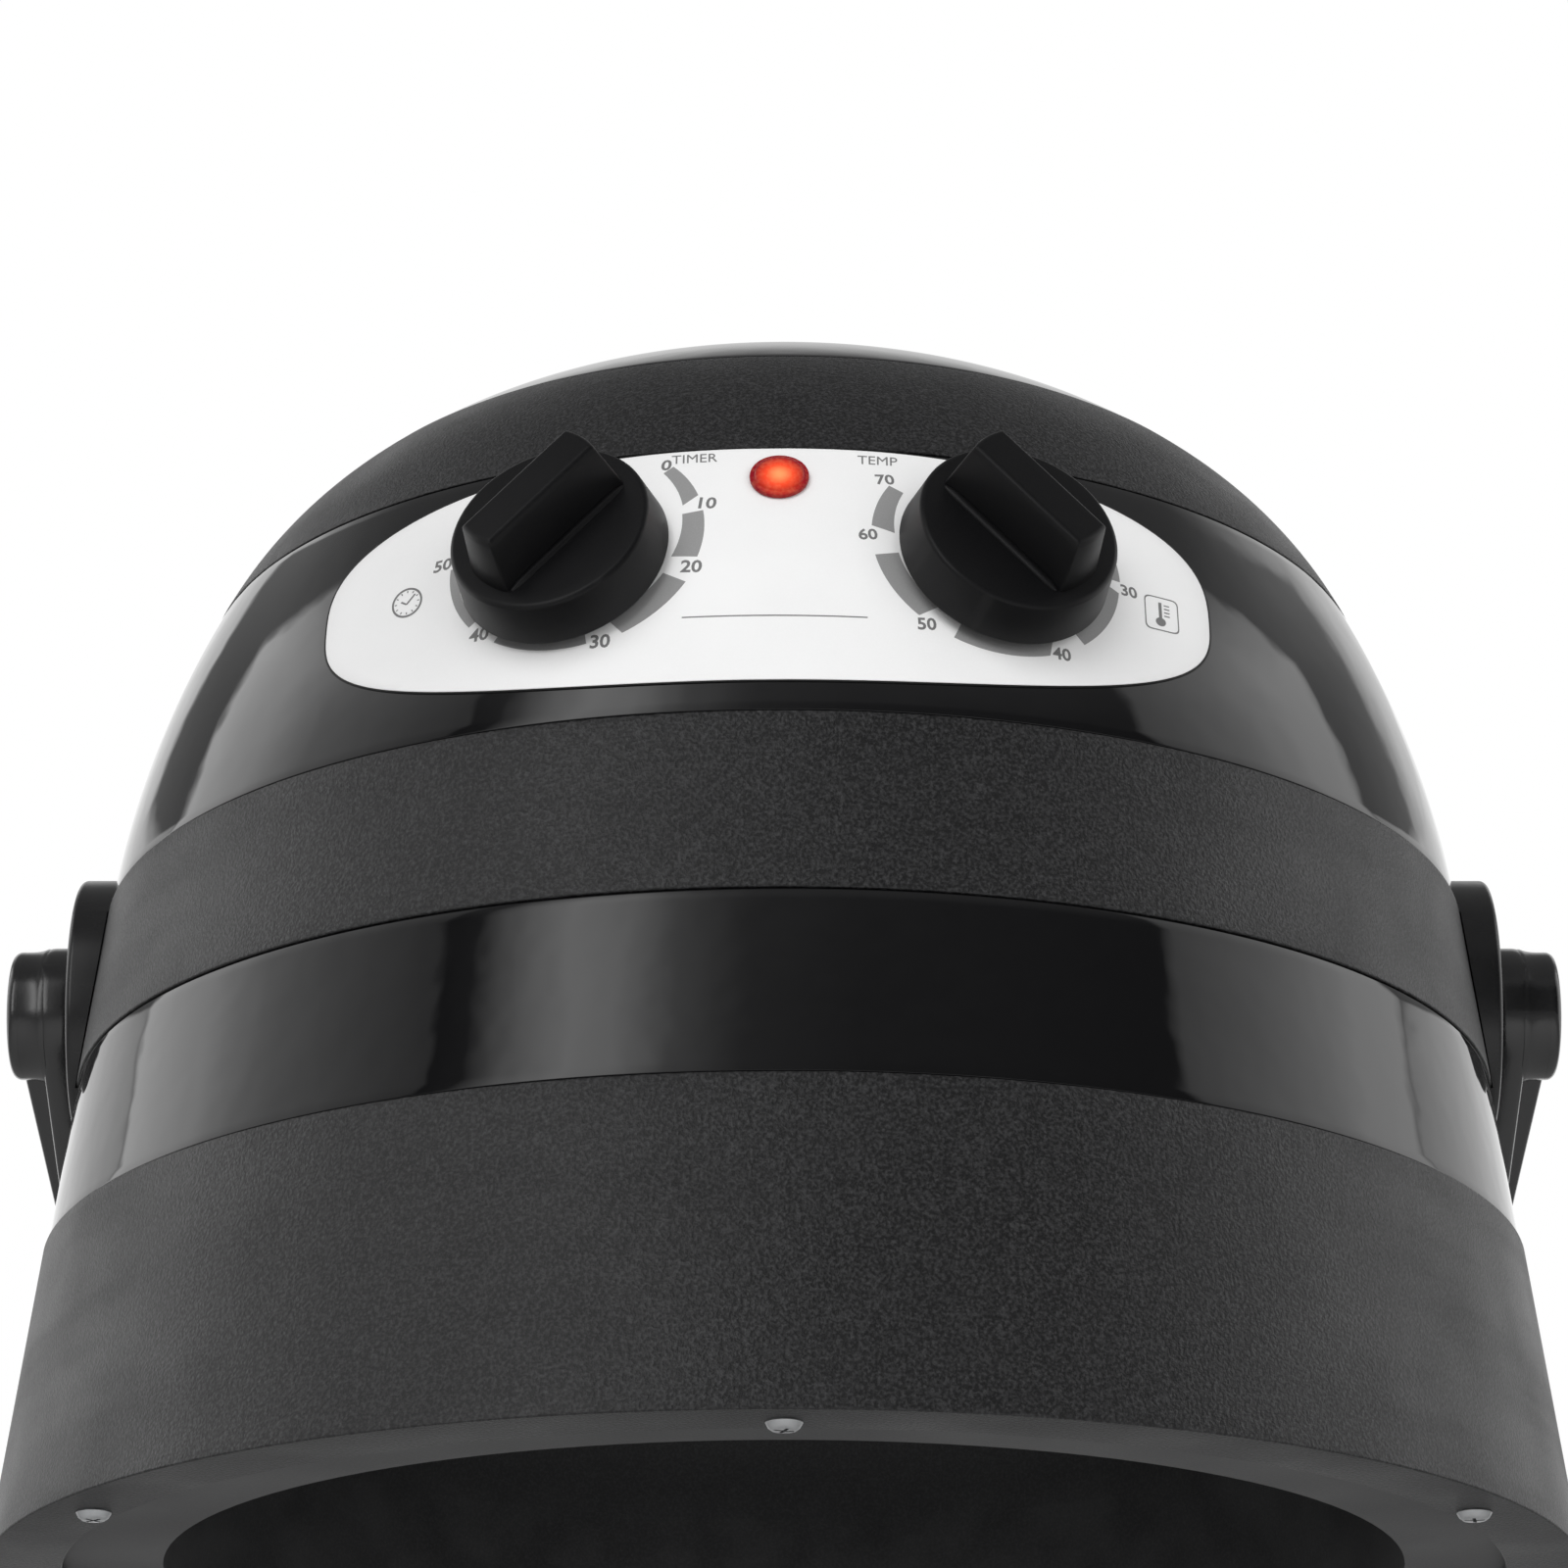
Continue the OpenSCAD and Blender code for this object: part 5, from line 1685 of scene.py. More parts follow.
@dataclass
class ControlPanel:
    """The printed white panel, its dial rings, numbers, words and icons."""

    half: float = 101.0
    shift: float = 4.0
    middle: float = 54.0
    rise: float = 35.7
    drop: float = 28.8
    power: float = 2.85
    low: float = 0.05
    high: float = 0.45
    around: int = 240
    rings: int = 26
    clock: Flat = (-85.6, 56.5)
    thermometer: Flat = (85.6, 53.2)
    bead: tuple[Flat, ...] = (
        (0.05, 0.02), (0.05, 0.34), (0.15, 0.4), (0.3, 0.4), (0.4, 0.3), (0.45, 0.02),
    )

    def outline(self, grow: float = 0.0) -> Profile:
        """Points round the panel.

        Args:
            grow: how far they stand outside its edge.

        Returns:
            Front-view positions in the hood frame.
        """
        points = []
        for i in range(self.around):
            c, s = polar(1.0, 2 * pi * (i + 0.5) / self.around)
            x = (self.half + grow) * copysign(abs(c) ** (2 / self.power), c)
            reach = (self.rise if s > 0 else self.drop) + grow
            z = self.middle + reach * copysign(abs(s) ** (2 / self.power), s)
            points.append((x - self.shift, z))
        return points

    def sheet(self) -> None:
        """Makes the panel with its holes for spindles and lamp."""
        form = Form(PLACES.hood())
        edge, inner, last = self.outline(), self.outline(-0.15), self.rings
        rows = []
        for off, order in ((self.high, range(last + 1)), (self.low, range(last, -1, -1))):
            for k in order:
                share = k / last
                level = off - (0.1 if off == self.high and k == last else 0.0)
                row = []
                for x, z in edge:
                    x = -self.shift + (x + self.shift) * share
                    z = self.middle + (z - self.middle) * share
                    row.append(front_drop(x, z, level))
                rows.append(form.ring(row[:1] if k == 0 else row))
                if off == self.high and k == last - 1:
                    rows.append(form.ring([front_drop(x, z, off) for x, z in inner]))
        sheet = form.skin(rows).piece("front_panel", 30.0)
        for side in Turn:
            sheet = bored(sheet, Knob.seat(side), HoodShells.spindle_bore, -6, 6)
        lamp = PLACES.shell(Lamp.azimuth, Lamp.height)
        sheet = bored(sheet, lamp, HoodShells.lamp_bore + 0.05, -6, 6)
        finished(sheet, PALETTE.panel, Slot.PANEL, "hood", "control_panel")

    def border(self) -> None:
        """Makes the fine bead that frames the panel: a real bead, near-black and matte as painted
        shadow of its seam.
        """
        form, top = Form(PLACES.hood()), OUTLINE.shoulder_low - 0.2
        rows = []
        for grow, off in self.bead:
            row = [front_drop(x, min(z, top), off) for x, z in self.outline(grow)]
            rows.append(form.ring(row))
        frame_bead = form.skin(rows, closed=True).piece("panel_frame", 30.0)
        # The bead's near-black colour is painted seam shadow.
        finished(frame_bead, PALETTE.seam_shadow, Slot.GLOSS, "hood")

    def blocks(self) -> None:
        """Makes the curved blocks round both dials."""
        ink = Print()
        for block in TIMER_BLOCKS:
            block.draw(ink, (0.7, 5.7), dial_drop(Turn.LEFT))
        for block in HEAT_BLOCKS:
            block.draw(ink, (0.0, 3.6), dial_drop(Turn.RIGHT))
        finished(ink.piece("dial_blocks"), PALETTE.ink, Slot.PANEL, "hood")

    def numbers(self) -> None:
        """Makes the numbers round both dials."""
        ink = Print()
        for side, high, marks in (
            (Turn.LEFT, 3.6, TIMER_NUMBERS), (Turn.RIGHT, 3.3, HEAT_NUMBERS),
        ):
            drop = dial_drop(side)
            for text, spot in marks.items():
                ink.word(text, spot, high, drop)
        finished(ink.piece("dial_numbers"), PALETTE.ink_dark, Slot.PANEL, "hood")

    def signs(self) -> None:
        """Makes the two words, the clock, the thermometer and the thin line."""
        ink, drop = Print(), front_drop
        ink.word("TIMER", (-20.3, 87.2), 2.6, drop, 0.0)
        ink.word("TEMP", (21.2, 86.6), 2.6, drop, 0.0)
        ink.bar((-22.6, 41.7), (18.5, 41.5), 0.32, drop, 24)
        x, z = self.clock
        dial = circle(1.0, 48)
        edges = [[(x + 3.6 * a * n, z + 4.2 * b * n) for a, b in dial] for n in (1.0, 0.87)]
        ink.band(edges[0], edges[1], drop, loop=True)
        for a, b in dial[::4]:
            ink.bar((x + 2.4 * a, z + 2.8 * b), (x + 2.9 * a, z + 3.4 * b), 0.25, drop)
        for a, b in ((-1.4, 0.5), (1.8, 2.0)):
            ink.bar((x - 0.1, z - 0.5), (x + a, z + b), 0.42, drop)
        x, z = self.thermometer
        box = rounded(rectangle((x - 4, z - 4.8), (x + 4, z + 4.8)), 1.5)
        ink.band(box, [(x + (a - x) * 0.93, z + (b - z) * 0.935) for a, b in box], drop, loop=True)
        ink.disc(circle(1.2, 20, (x - 0.3, z - 2.3)), drop)
        ink.bar((x - 0.3, z - 1.5), (x - 0.3, z + 3.2), 0.75, drop)
        for step in range(4):
            ink.bar((x + 0.6, z - 0.4 + step), (x + 1.9, z - 0.4 + step), 0.3, drop)
        finished(ink.piece("panel_signs"), PALETTE.ink_dark, Slot.PANEL, "hood")

    def build(self) -> None:
        """Builds and dresses the panel and all its print."""
        for part in (self.sheet, self.border, self.blocks, self.numbers, self.signs):
            part()


@dataclass
class Lamp:
    """The indicator lamp's lens with its round flange."""

    radius: float = 6.75
    azimuth: float = -0.4
    height: float = 80.0

    def build(self) -> None:
        """Builds and dresses the lens."""
        r = self.radius
        profile = [(0.0, -1.9), (r - 1.25, -1.9), (r - 1.25, 0.5), (r - 0.3, 0.5)]
        profile += [(r - 0.05, 0.65), (r, 0.9), (r, 1.3), (r - 0.1, 1.55), (r - 0.4, 1.7)]
        profile += [(r - 0.9, 1.72), (r - 1.05, 1.85)]
        profile += [((r - 1.1) * c, 1.9 + 1.4 * s) for c, s in quarter(8)]
        place = PLACES.shell(self.azimuth, self.height)
        lens = Form(place).revolve(profile, 96).piece("lamp_window", 40.0)
        finished(lens, PALETTE.lamp, Slot.LAMP, "hood", "lamp_lens")


# ---- pivots and yoke


@dataclass
class PivotPad:
    """The round pad on the hood's side that the arm turns against."""

    side: Turn
    radius: float = 33.5
    face: float = 173.6
    depth: float = 21.6
    edge: float = 1.6
    reach: float = 60.0

    def build(self) -> None:
        """Builds the pad, cut to the hood's side, with the sleeve round its bolt."""
        name, place = self.side.name.lower(), PLACES.pivot(self.side)
        low, edge = self.face - 14.0, self.edge
        profile = [(0.0, low), (self.radius, low)]
        for c, s in quarter(8):
            profile.append((self.radius - edge * (1 - c), self.face - edge + edge * s))
        profile += [(16.0, self.face), (15.6, self.face - 0.3), (0.0, self.face - 0.3)]
        pad = Form(place).revolve(profile, 160).piece(f"pivot_disc_{name}", 30.0)
        reach, under, above = self.reach, OUTLINE.band_low - 0.05, OUTLINE.band_top + 0.05
        shell = [(0.0, -reach), (OUTLINE.radius_at(-reach, 0.05), -reach)]
        shell += OUTLINE.face(-reach, under, 0.05, 6.0)[1:]
        shell += OUTLINE.face(under, above, 0.85, 6.0) + OUTLINE.face(above, reach, 0.05, 3.0)
        shell.append((0.0, reach))
        body = Form(PLACES.hood()).revolve(shell, 256, closed=False).piece("cutter")
        pad = combined(pad, body, Cut.TAKE)
        sleeve = rectangle((6.1, self.face - self.depth), (11.0, self.face - 0.4))
        pad = combined(pad, Form(place).revolve(sleeve, 64).piece("cutter"), Cut.JOIN)
        finished(pad, PALETTE.satin, Slot.SATIN, "hood", f"pivot_pad_{name}")


@dataclass
class YokeArm:
    """One arm of the yoke: a curved flat bar with a round pivot boss and a tapered rib."""

    side: Turn
    inner: float = 174.6
    thick: float = 7.5
    end: float = 16.8
    wide: float = 26.0
    straight: float = 107.0
    boss: float = 15.8
    boss_long: float = 5.5
    cap: float = 2.8
    cap_gap: float = 0.02
    cap_edge: float = 2.1
    rib_long: float = 104.0
    rib_wide: float = 15.0
    rib_high: float = 6.7

    def section(self, half: float) -> Profile:
        """Rounded section of the arm, thickness across and width up, given half its width."""
        t = self.thick / 2
        return rounded(rectangle((-t, -half), (t, half)), min(2.2, half * 0.9), 4)

    def stations(self) -> list[tuple[Vector, float, float]]:
        """Places along the arm.

        Returns:
            The middle, the direction in degrees and half the width at each.
        """
        mid = self.inner + self.thick / 2
        rows: list[tuple[Vector, float, float]] = []
        for c, _ in quarter(12):
            y = -self.end * c
            rows.append((Vector((mid, y, 0)), 0.0, sqrt(max(0.25, self.end**2 - y * y))))
        for i in range(1, 13):
            y = self.straight * i / 12
            rows.append((Vector((mid, y, 0)), 0.0, self.end + (self.wide / 2 - self.end) * i / 12))
        last = degrees(acos(ARM_FOOT / mid))
        for i in range(1, 49):
            turn = last * i / 48
            x, y = polar(mid, radians(turn), (0.0, self.straight))
            rows.append((Vector((x, y, 0)), turn, self.wide / 2))
        return rows

    def bar(self) -> Form:
        """Makes the curved bar.

        Returns:
            The form.
        """
        rings = []
        for spot, turn, half in self.stations():
            spin = Matrix.Translation(spot) @ turned(turn, "Z")
            row = [spin @ Vector((x, 0, z)) for x, z in self.section(half)]
            rings.append([(p.x * self.side.value, p.y, p.z) for p in row])
        return Form(PLACES.yoke()).loft(rings)

    def boss_form(self) -> Form:
        """Makes the round boss with a hollow fillet to the arm.

        Returns:
            The form.
        """
        out, flare = self.inner + self.thick, 0.8
        profile = [(0.0, out - 1.0), (self.boss + flare, out - 1.0)]
        for i in range(9):
            share = i / 8
            profile.append((self.boss + flare * (1 - share) ** 3, out - 0.1 + 5.4 * share))
        profile += [(self.boss, out + self.boss_long), (0.0, out + self.boss_long)]
        return Form(PLACES.pivot(self.side)).revolve(profile, 128)

    def rib(self) -> Form:
        """Makes the tapered rib that runs down from the boss.

        Returns:
            The form.
        """
        out, level = self.inner + self.thick, 12
        rings = []
        for i in range(25):
            t = i / 24
            y = self.rib_long * t
            fall = 0.0 if y < level else (y - level) / (self.rib_long - level)
            high = max(0.05, self.rib_high * (1 - fall))
            half = self.rib_wide / 2 * (1 - 0.12 * t)
            edge = min(1.6, high * 0.8)
            base = out + high - edge
            row = [(out - 1.2, -half - 0.6), (out + 0.2, -half - 0.35), (base, -half)]
            row += [(base + edge * s, -half + edge * (1 - c)) for c, s in quarter(4, 1)]
            row += [(x, -z) for x, z in reversed(row)]
            rings.append([(self.side.value * x, y, z) for x, z in row])
        return Form(PLACES.yoke()).loft(rings)

    def build(self) -> None:
        """Builds and dresses the arm with its boss and rib."""
        name = self.side.name.lower()
        arm = self.bar().add(self.boss_form()).add(self.rib()).piece(f"yoke_bar_{name}", 32.0)
        finished(arm, PALETTE.yoke, Slot.YOKE, "yoke", f"yoke_arm_{name}")

    @classmethod
    def build_caps(cls) -> None:
        """Builds both caps as one piece, for the two CAD caps are one node."""
        form = Form()
        low = cls.inner + cls.thick + cls.boss_long + cls.cap_gap
        top, edge = low + cls.cap - cls.cap_gap, cls.cap_edge
        profile = [(0.0, low), (cls.boss, low)]
        profile += [(cls.boss - edge * (1 - c), top - edge * (1 - s)) for c, s in quarter(10)]
        profile += [(10.4, top), (10.0, top - 0.35), (9.6, top), (0.0, top)]
        for side in Turn:
            form.add(Form(PLACES.pivot(side)).revolve(profile, 128))
        finished(form.piece("pivot_covers", 32.0), PALETTE.yoke, Slot.YOKE, "yoke", "pivot_caps")


@dataclass
class YokeHub:
    """The block that joins both arms on the pole, with its barrel and cap."""

    half: float = 30.0
    wide: float = 35.0
    deep: float = 27.5
    barrel: float = 19.0
    barrel_low: float = -34.0
    bore: float = 9.05

    @property
    def barrel_high(self) -> float:
        """Height of the barrel's top above the hub's middle."""
        drop = radians(PLACES.yoke_drop)
        return self.wide / 2 * cos(drop) + self.deep / 2 * sin(drop) + 0.5

    def block(self) -> Object:
        """Makes the rounded block round the arms' ends.

        Returns:
            The solid.
        """
        near, far = PLACES.yoke_reach - self.deep / 2, PLACES.yoke_reach + self.deep / 2
        outline = rounded(rectangle((-self.half, near), (self.half, far)), 5.0, 6)
        form = Form(PLACES.yoke()).prism(outline, -self.wide / 2, self.wide / 2)
        return bevelled(form.piece("hub_block", 40.0), 1.6, 3)

    def barrel_form(self) -> Object:
        """Makes the upright barrel with rounded ends and a fine recessed band.

        Returns:
            The solid.
        """
        low, high, r, bore = self.barrel_low, self.barrel_high, self.barrel, self.bore
        profile = [(bore, low), (r - 1.5, low), (r - 0.4, low + 0.4), (r, low + 1.5)]
        profile += [(r, low + 7.0), (r - 0.7, low + 7.6), (r - 0.7, low + 8.6), (r, low + 9.2)]
        profile += [(r, high - 0.6), (r - 0.5, high), (bore, high)]
        return Form(moved(0, 0, PLACES.hub_z)).revolve(profile, 128).piece("cutter", 40.0)

    def cap(self) -> None:
        """Makes the domed cap on the barrel."""
        low, r = PLACES.hub_z + self.barrel_high + 0.1, self.barrel
        profile = [(0.0, low), (r - 0.4, low), (r, low + 0.4), (r, low + 1.6)]
        profile += [(r - 0.5, low + 2.4), (r - 1.6, low + 3.1), (r - 4.0, low + 3.6)]
        profile.append((0.0, low + 3.85))
        cover = Form().revolve(profile, 96).piece("hub_cover", 40.0)
        finished(cover, PALETTE.yoke, Slot.YOKE, "yoke", "hub_cap")

    @property
    def screw_reach(self) -> float:
        """Distance of each screw from the pole's axis."""
        return (ARM_FOOT + self.half) / 2 + 1

    def screws(self) -> None:
        """Makes the two round-socket screws under the hub."""
        low, high = -self.wide / 2, self.wide / 2
        head = [(0.0, low + 3), (5.4, low + 3), (5.4, low + 0.5), (4.9, low)]
        head += [(2.9, low), (2.6, low + 2.2), (0.0, low + 2.2)]
        shaft = [(0.0, low + 3), (3.0, low + 3), (3.0, high - 5.6)]
        shaft += [(2.4, high - 5.0), (0.0, high - 5.0)]
        form = Form(moved(self.screw_reach, 0, 0)).revolve(head, 48).revolve(shaft, 32)
        seed = Form().piece("hub_bolts")
        COPIES.apply(seed, form.piece("screw_pattern", 30.0), len(Turn), PALETTE.zinc)
        seed.data.transform(metre(PLACES.yoke() @ moved(0, PLACES.yoke_reach, 0)))
        finished(seed, PALETTE.zinc, Slot.SCREW, "yoke", "hub_screws")

    def build(self) -> None:
        """Builds and dresses the hub, its cap and screws."""
        hub = combined(self.block(), self.barrel_form(), Cut.JOIN)
        face = -self.wide / 2
        for side in Turn:
            place = PLACES.yoke() @ moved(side.value * self.screw_reach, PLACES.yoke_reach, 0)
            hub = bored(hub, place, 5.6, face - 1, face + 3, 48)
        finished(hub, PALETTE.yoke, Slot.YOKE, "yoke", "yoke_hub")
        self.cap()
        self.screws()


@dataclass
class RimScrews:
    """The cross-head screws in the turned-in rim."""

    count: int = 6
    first: float = 30.0
    level: float = -140.0
    inset: float = -17.0 * 0.6

    def build(self) -> None:
        """Builds and dresses the screws."""
        ring, low = OUTLINE.radius_at(self.level, self.inset), OUTLINE.rim_low
        profile = [(0.0, low - 2.0), (2.6, low - 1.9), (3.4, low - 1.3)]
        profile += [(3.95, low - 0.3), (3.9, low - 0.02), (1.9, low - 0.02)]
        profile += [(1.9, low + 8.0), (0.0, low + 8.4)]
        screw = Form(moved(ring, 0, 0)).revolve(profile, 32).piece("screw_pattern", 30.0)
        for turn in (20.0, 110.0):
            place = moved(ring, 0, low - 1.6) @ turned(turn, "Z")
            slot = Form(place).prism(rectangle((-2.2, -0.4), (2.2, 0.4)), -2.0, 0.9)
            screw = combined(screw, slot.piece("cutter"), Cut.TAKE)
        seed = Form().piece("rim_fixings")
        COPIES.apply(seed, screw, self.count, PALETTE.zinc, radians(self.first))
        seed.data.transform(metre(PLACES.hood()))
        finished(seed, PALETTE.zinc, Slot.SCREW, "hood", "rim_screws")


@dataclass
class Diffuser:
    """The perforated round cover in the top of the dome."""

    dome: float = 147.0
    centre: float = -95.0
    wall: float = 2.5
    radius: float = 92.0
    hole: float = 3.6
    step: float = 23.0
    rows: int = 4
    first: int = 7

    def build(self) -> None:
        """Builds and dresses the diffuser."""
        edge = self.radius - 0.3
        rows = []
        for ball in (self.dome, self.dome + self.wall):
            turns = [asin(edge / ball) * i / 30 for i in range(31)]
            rows.append([(ball * sin(t), self.centre + ball * cos(t)) for t in turns])
        form = Form().revolve(rows[0] + rows[1][::-1], 192, closed=False)
        obj, top = form.piece("diffuser_plate", 30.0), self.centre + self.dome
        for row in range(self.rows):
            form = Form(moved(row * self.step, 0, 0))
            pattern = form.prism(circle(self.hole, 20), top - 60, top + 20)
            count = max(1, row * self.first)
            HOLES.apply(obj, pattern.piece("hole_cutter"), count, PALETTE.inner)
        rim = []
        for radius, off in ((86.0, 2.6), (97.5, 2.6), (97.5, 4.4), (86.0, 4.4)):
            rim.append((radius, self.centre + sqrt((self.dome + off) ** 2 - radius**2)))
        flange = Form().revolve(rim, 192).piece("cutter", 30.0)
        combined(obj, flange, Cut.JOIN, 30.0)
        obj.data.transform(metre(PLACES.hood()))
        finished(obj, PALETTE.inner, Slot.INNER, "hood", "air_diffuser")


# ---- pole


@dataclass
class HeightClamp:
    """The collar on the lower pole, with its lobed clamp knob behind."""

    top: float = 690.0
    length: float = 40.0
    radius: float = 22.0
    pole: float = 16.05
    upper: float = 12.8
    boss: float = 9.0
    boss_reach: float = 34.0
    knob_radius: float = 19.0
    knob_thick: float = 14.0
    lobes: int = 6
    lobe_deep: float = 3.2

    def side(self) -> Matrix:
        """Place on the pole's axis, local z along the clamp screw."""
        return moved(0, 0, self.top - self.length / 2) @ turned(-90, "X")

    def collar(self) -> None:
        """Makes the collar with its side boss."""
        low, high, r = self.top - self.length, self.top + 12.0, self.radius
        profile = [(self.pole, low), (r - 1.2, low), (r - 0.3, low + 0.4), (r, low + 1.2)]
        profile += [(r, low + 5.0), (r - 0.6, low + 5.5), (r - 0.6, low + 6.5), (r, low + 7.0)]
        profile += [(r, high - 4.6), (r - 0.4, high - 3.8), (r - 3.6, high - 0.5), (r - 4.4, high)]
        profile += [(self.upper, high), (self.upper, self.top + 2.1), (self.pole, self.top + 2.1)]
        obj = Form().revolve(profile, 128).piece("height_clamp", 35.0)
        boss, reach = self.boss, self.boss_reach
        stub = [(0.0, 18.5), (boss + 1.0, 18.5), (boss, 22.5)]
        stub += [(boss, reach - 0.8), (boss - 0.8, reach), (0.0, reach)]
        other = Form(self.side()).revolve(stub, 64).piece("cutter", 35.0)
        obj = combined(obj, other, Cut.JOIN)
        obj = bored(obj, self.side(), 4.05, 10.0, 40.0, 32)
        finished(obj, PALETTE.satin, Slot.SATIN, "base", "height_collar")

    def knob(self) -> None:
        """Makes the lobed knob with its screw."""
        low, thick, steps = self.boss_reach + 0.3, self.knob_thick, 180
        outline = []
        for i in range(steps):
            turn = 2 * pi * i / steps
            wave = 0.5 + 0.5 * cos(self.lobes * turn)
            outline.append(polar(self.knob_radius - self.lobe_deep * (1 - wave) ** 1.6, turn))
        rings = []
        for high, inset in (
            (0.0, 1.4), (0.4, 0.5), (1.3, 0.0), (7.0, 0.0), (thick - 2.2, 0.25),
            (thick - 0.9, 0.9), (thick - 0.25, 1.9), (thick, 3.2),
        ):
            share = 1 - inset / self.knob_radius
            rings.append([(x * share, y * share, low + high) for x, y in outline])
        for radius, down in ((12.0, 0.1), (11.2, 0.7), (10.2, 0.7), (9.6, 0.1)):
            rings.append([(x, y, low + thick - down) for x, y in circle(radius, steps)])
        form = Form(self.side()).loft(rings)
        end = low + 1.0
        form.revolve([(0.0, 12.9), (3.4, 12.9), (4.0, 13.5), (4.0, end), (0.0, end)], 32)
        knob = form.piece("clamp_knob", 32.0)
        finished(knob, PALETTE.knob, Slot.KNOB, "clamp", "height_knob")

    def build(self) -> None:
        """Builds and dresses the clamp."""
        self.collar()
        self.knob()


# ---- base


@dataclass
class FootHub:
    """The five-sided hub of the base, with the pole's socket."""

    flat: float = 38.0
    low: float = 58.0
    high: float = 30.0
    socket: float = 22.0
    socket_high: float = 52.0
    cone: float = 16.0
    ledge: float = 4.0
    step: float = 1.5
    bore: float = 16.05

    def build(self) -> None:
        """Builds and dresses the hub."""
        place, reach = moved(0, 0, self.low), self.flat / cos(radians(36))
        corners = [polar(reach, radians(-54 + 72 * i)) for i in range(5)]
        block = Form(place).prism(rounded(corners, 3.0, 4), 0.0, self.high)
        hub = bevelled(block.piece("pole_socket", 40.0), 1.0, 3)
        wide, ledge = self.flat - self.ledge, self.high + self.step
        top, r = self.high + self.socket_high, self.socket
        profile = [(0.0, 15.0), (wide, 15.0), (wide, ledge - 0.4), (wide - 0.4, ledge)]
        for i in range(1, 9):
            t = i / 8
            radius = wide + (r - wide) * t - 1.5 * sin(pi * t)
            profile.append((radius, ledge + (self.cone - self.step) * t))
        profile += [(r, top - 1.2), (r - 0.35, top - 0.35), (r - 1.2, top), (0.0, top)]
        cone = Form(place).revolve(profile, 128, closed=False).piece("cutter", 40.0)
        hub = bored(combined(hub, cone, Cut.JOIN), place, self.bore, 10.0, 200.0, 96)
        finished(hub, PALETTE.base, Slot.BASE, "base", "base_hub")


@dataclass
class FootLegs:
    """The five tapered legs with rounded edges and tips."""

    count: int = 5
    root: float = 38.0
    reach: float = 290.0
    low: float = 58.0
    root_high: float = 30.0
    tip_high: float = 17.0
    root_wide: float = 36.0
    tip_wide: float = 24.0

    def section(self, x: float) -> list[Triple]:
        """Rounded section of a leg.

        Args:
            x: distance from the pole's axis.

        Returns:
            Points round it.
        """
        round_tip = self.tip_wide / 2
        t = min(1.0, (x - self.root) / (self.reach - round_tip - self.root))
        high = self.root_high + (self.tip_high - self.root_high) * t
        if x <= self.reach:
            share = (x - self.root) / (self.reach - self.root)
            half = (self.root_wide + (self.tip_wide - self.root_wide) * share) / 2
        else:
            half = sqrt(max(0.3, round_tip**2 - (x - self.reach) ** 2))
        past = x - (self.reach + round_tip - 4)
        if past > 0:
            high -= 1.5 * past / 4
        low, top = self.low, self.low + high
        corners = [(-half, low), (half, low), (half * 0.96, top), (-half * 0.96, top)]
        return [(x, y, z) for y, z in rounded(corners, min(4.0, half * 0.8), 5)]

    def build(self) -> None:
        """Builds one leg and sets it round the pole."""
        spots = [self.root - 0.6 + (self.reach - self.root) * i / 24 for i in range(25)]
        spots += [self.reach + self.tip_wide / 2 * s for _, s in quarter(8, 1)]
        leg = Form().loft([self.section(x) for x in spots]).piece("leg_pattern", 35.0)
        leg = bored(leg, moved(self.reach, 0, 0), 5.6, self.low - 1, self.low + 12, 32)
        seed = Form().piece("leg_bars")
        COPIES.apply(seed, leg, self.count, PALETTE.base, -pi / 2)
        finished(seed, PALETTE.base, Slot.BASE, "base", "base_legs")


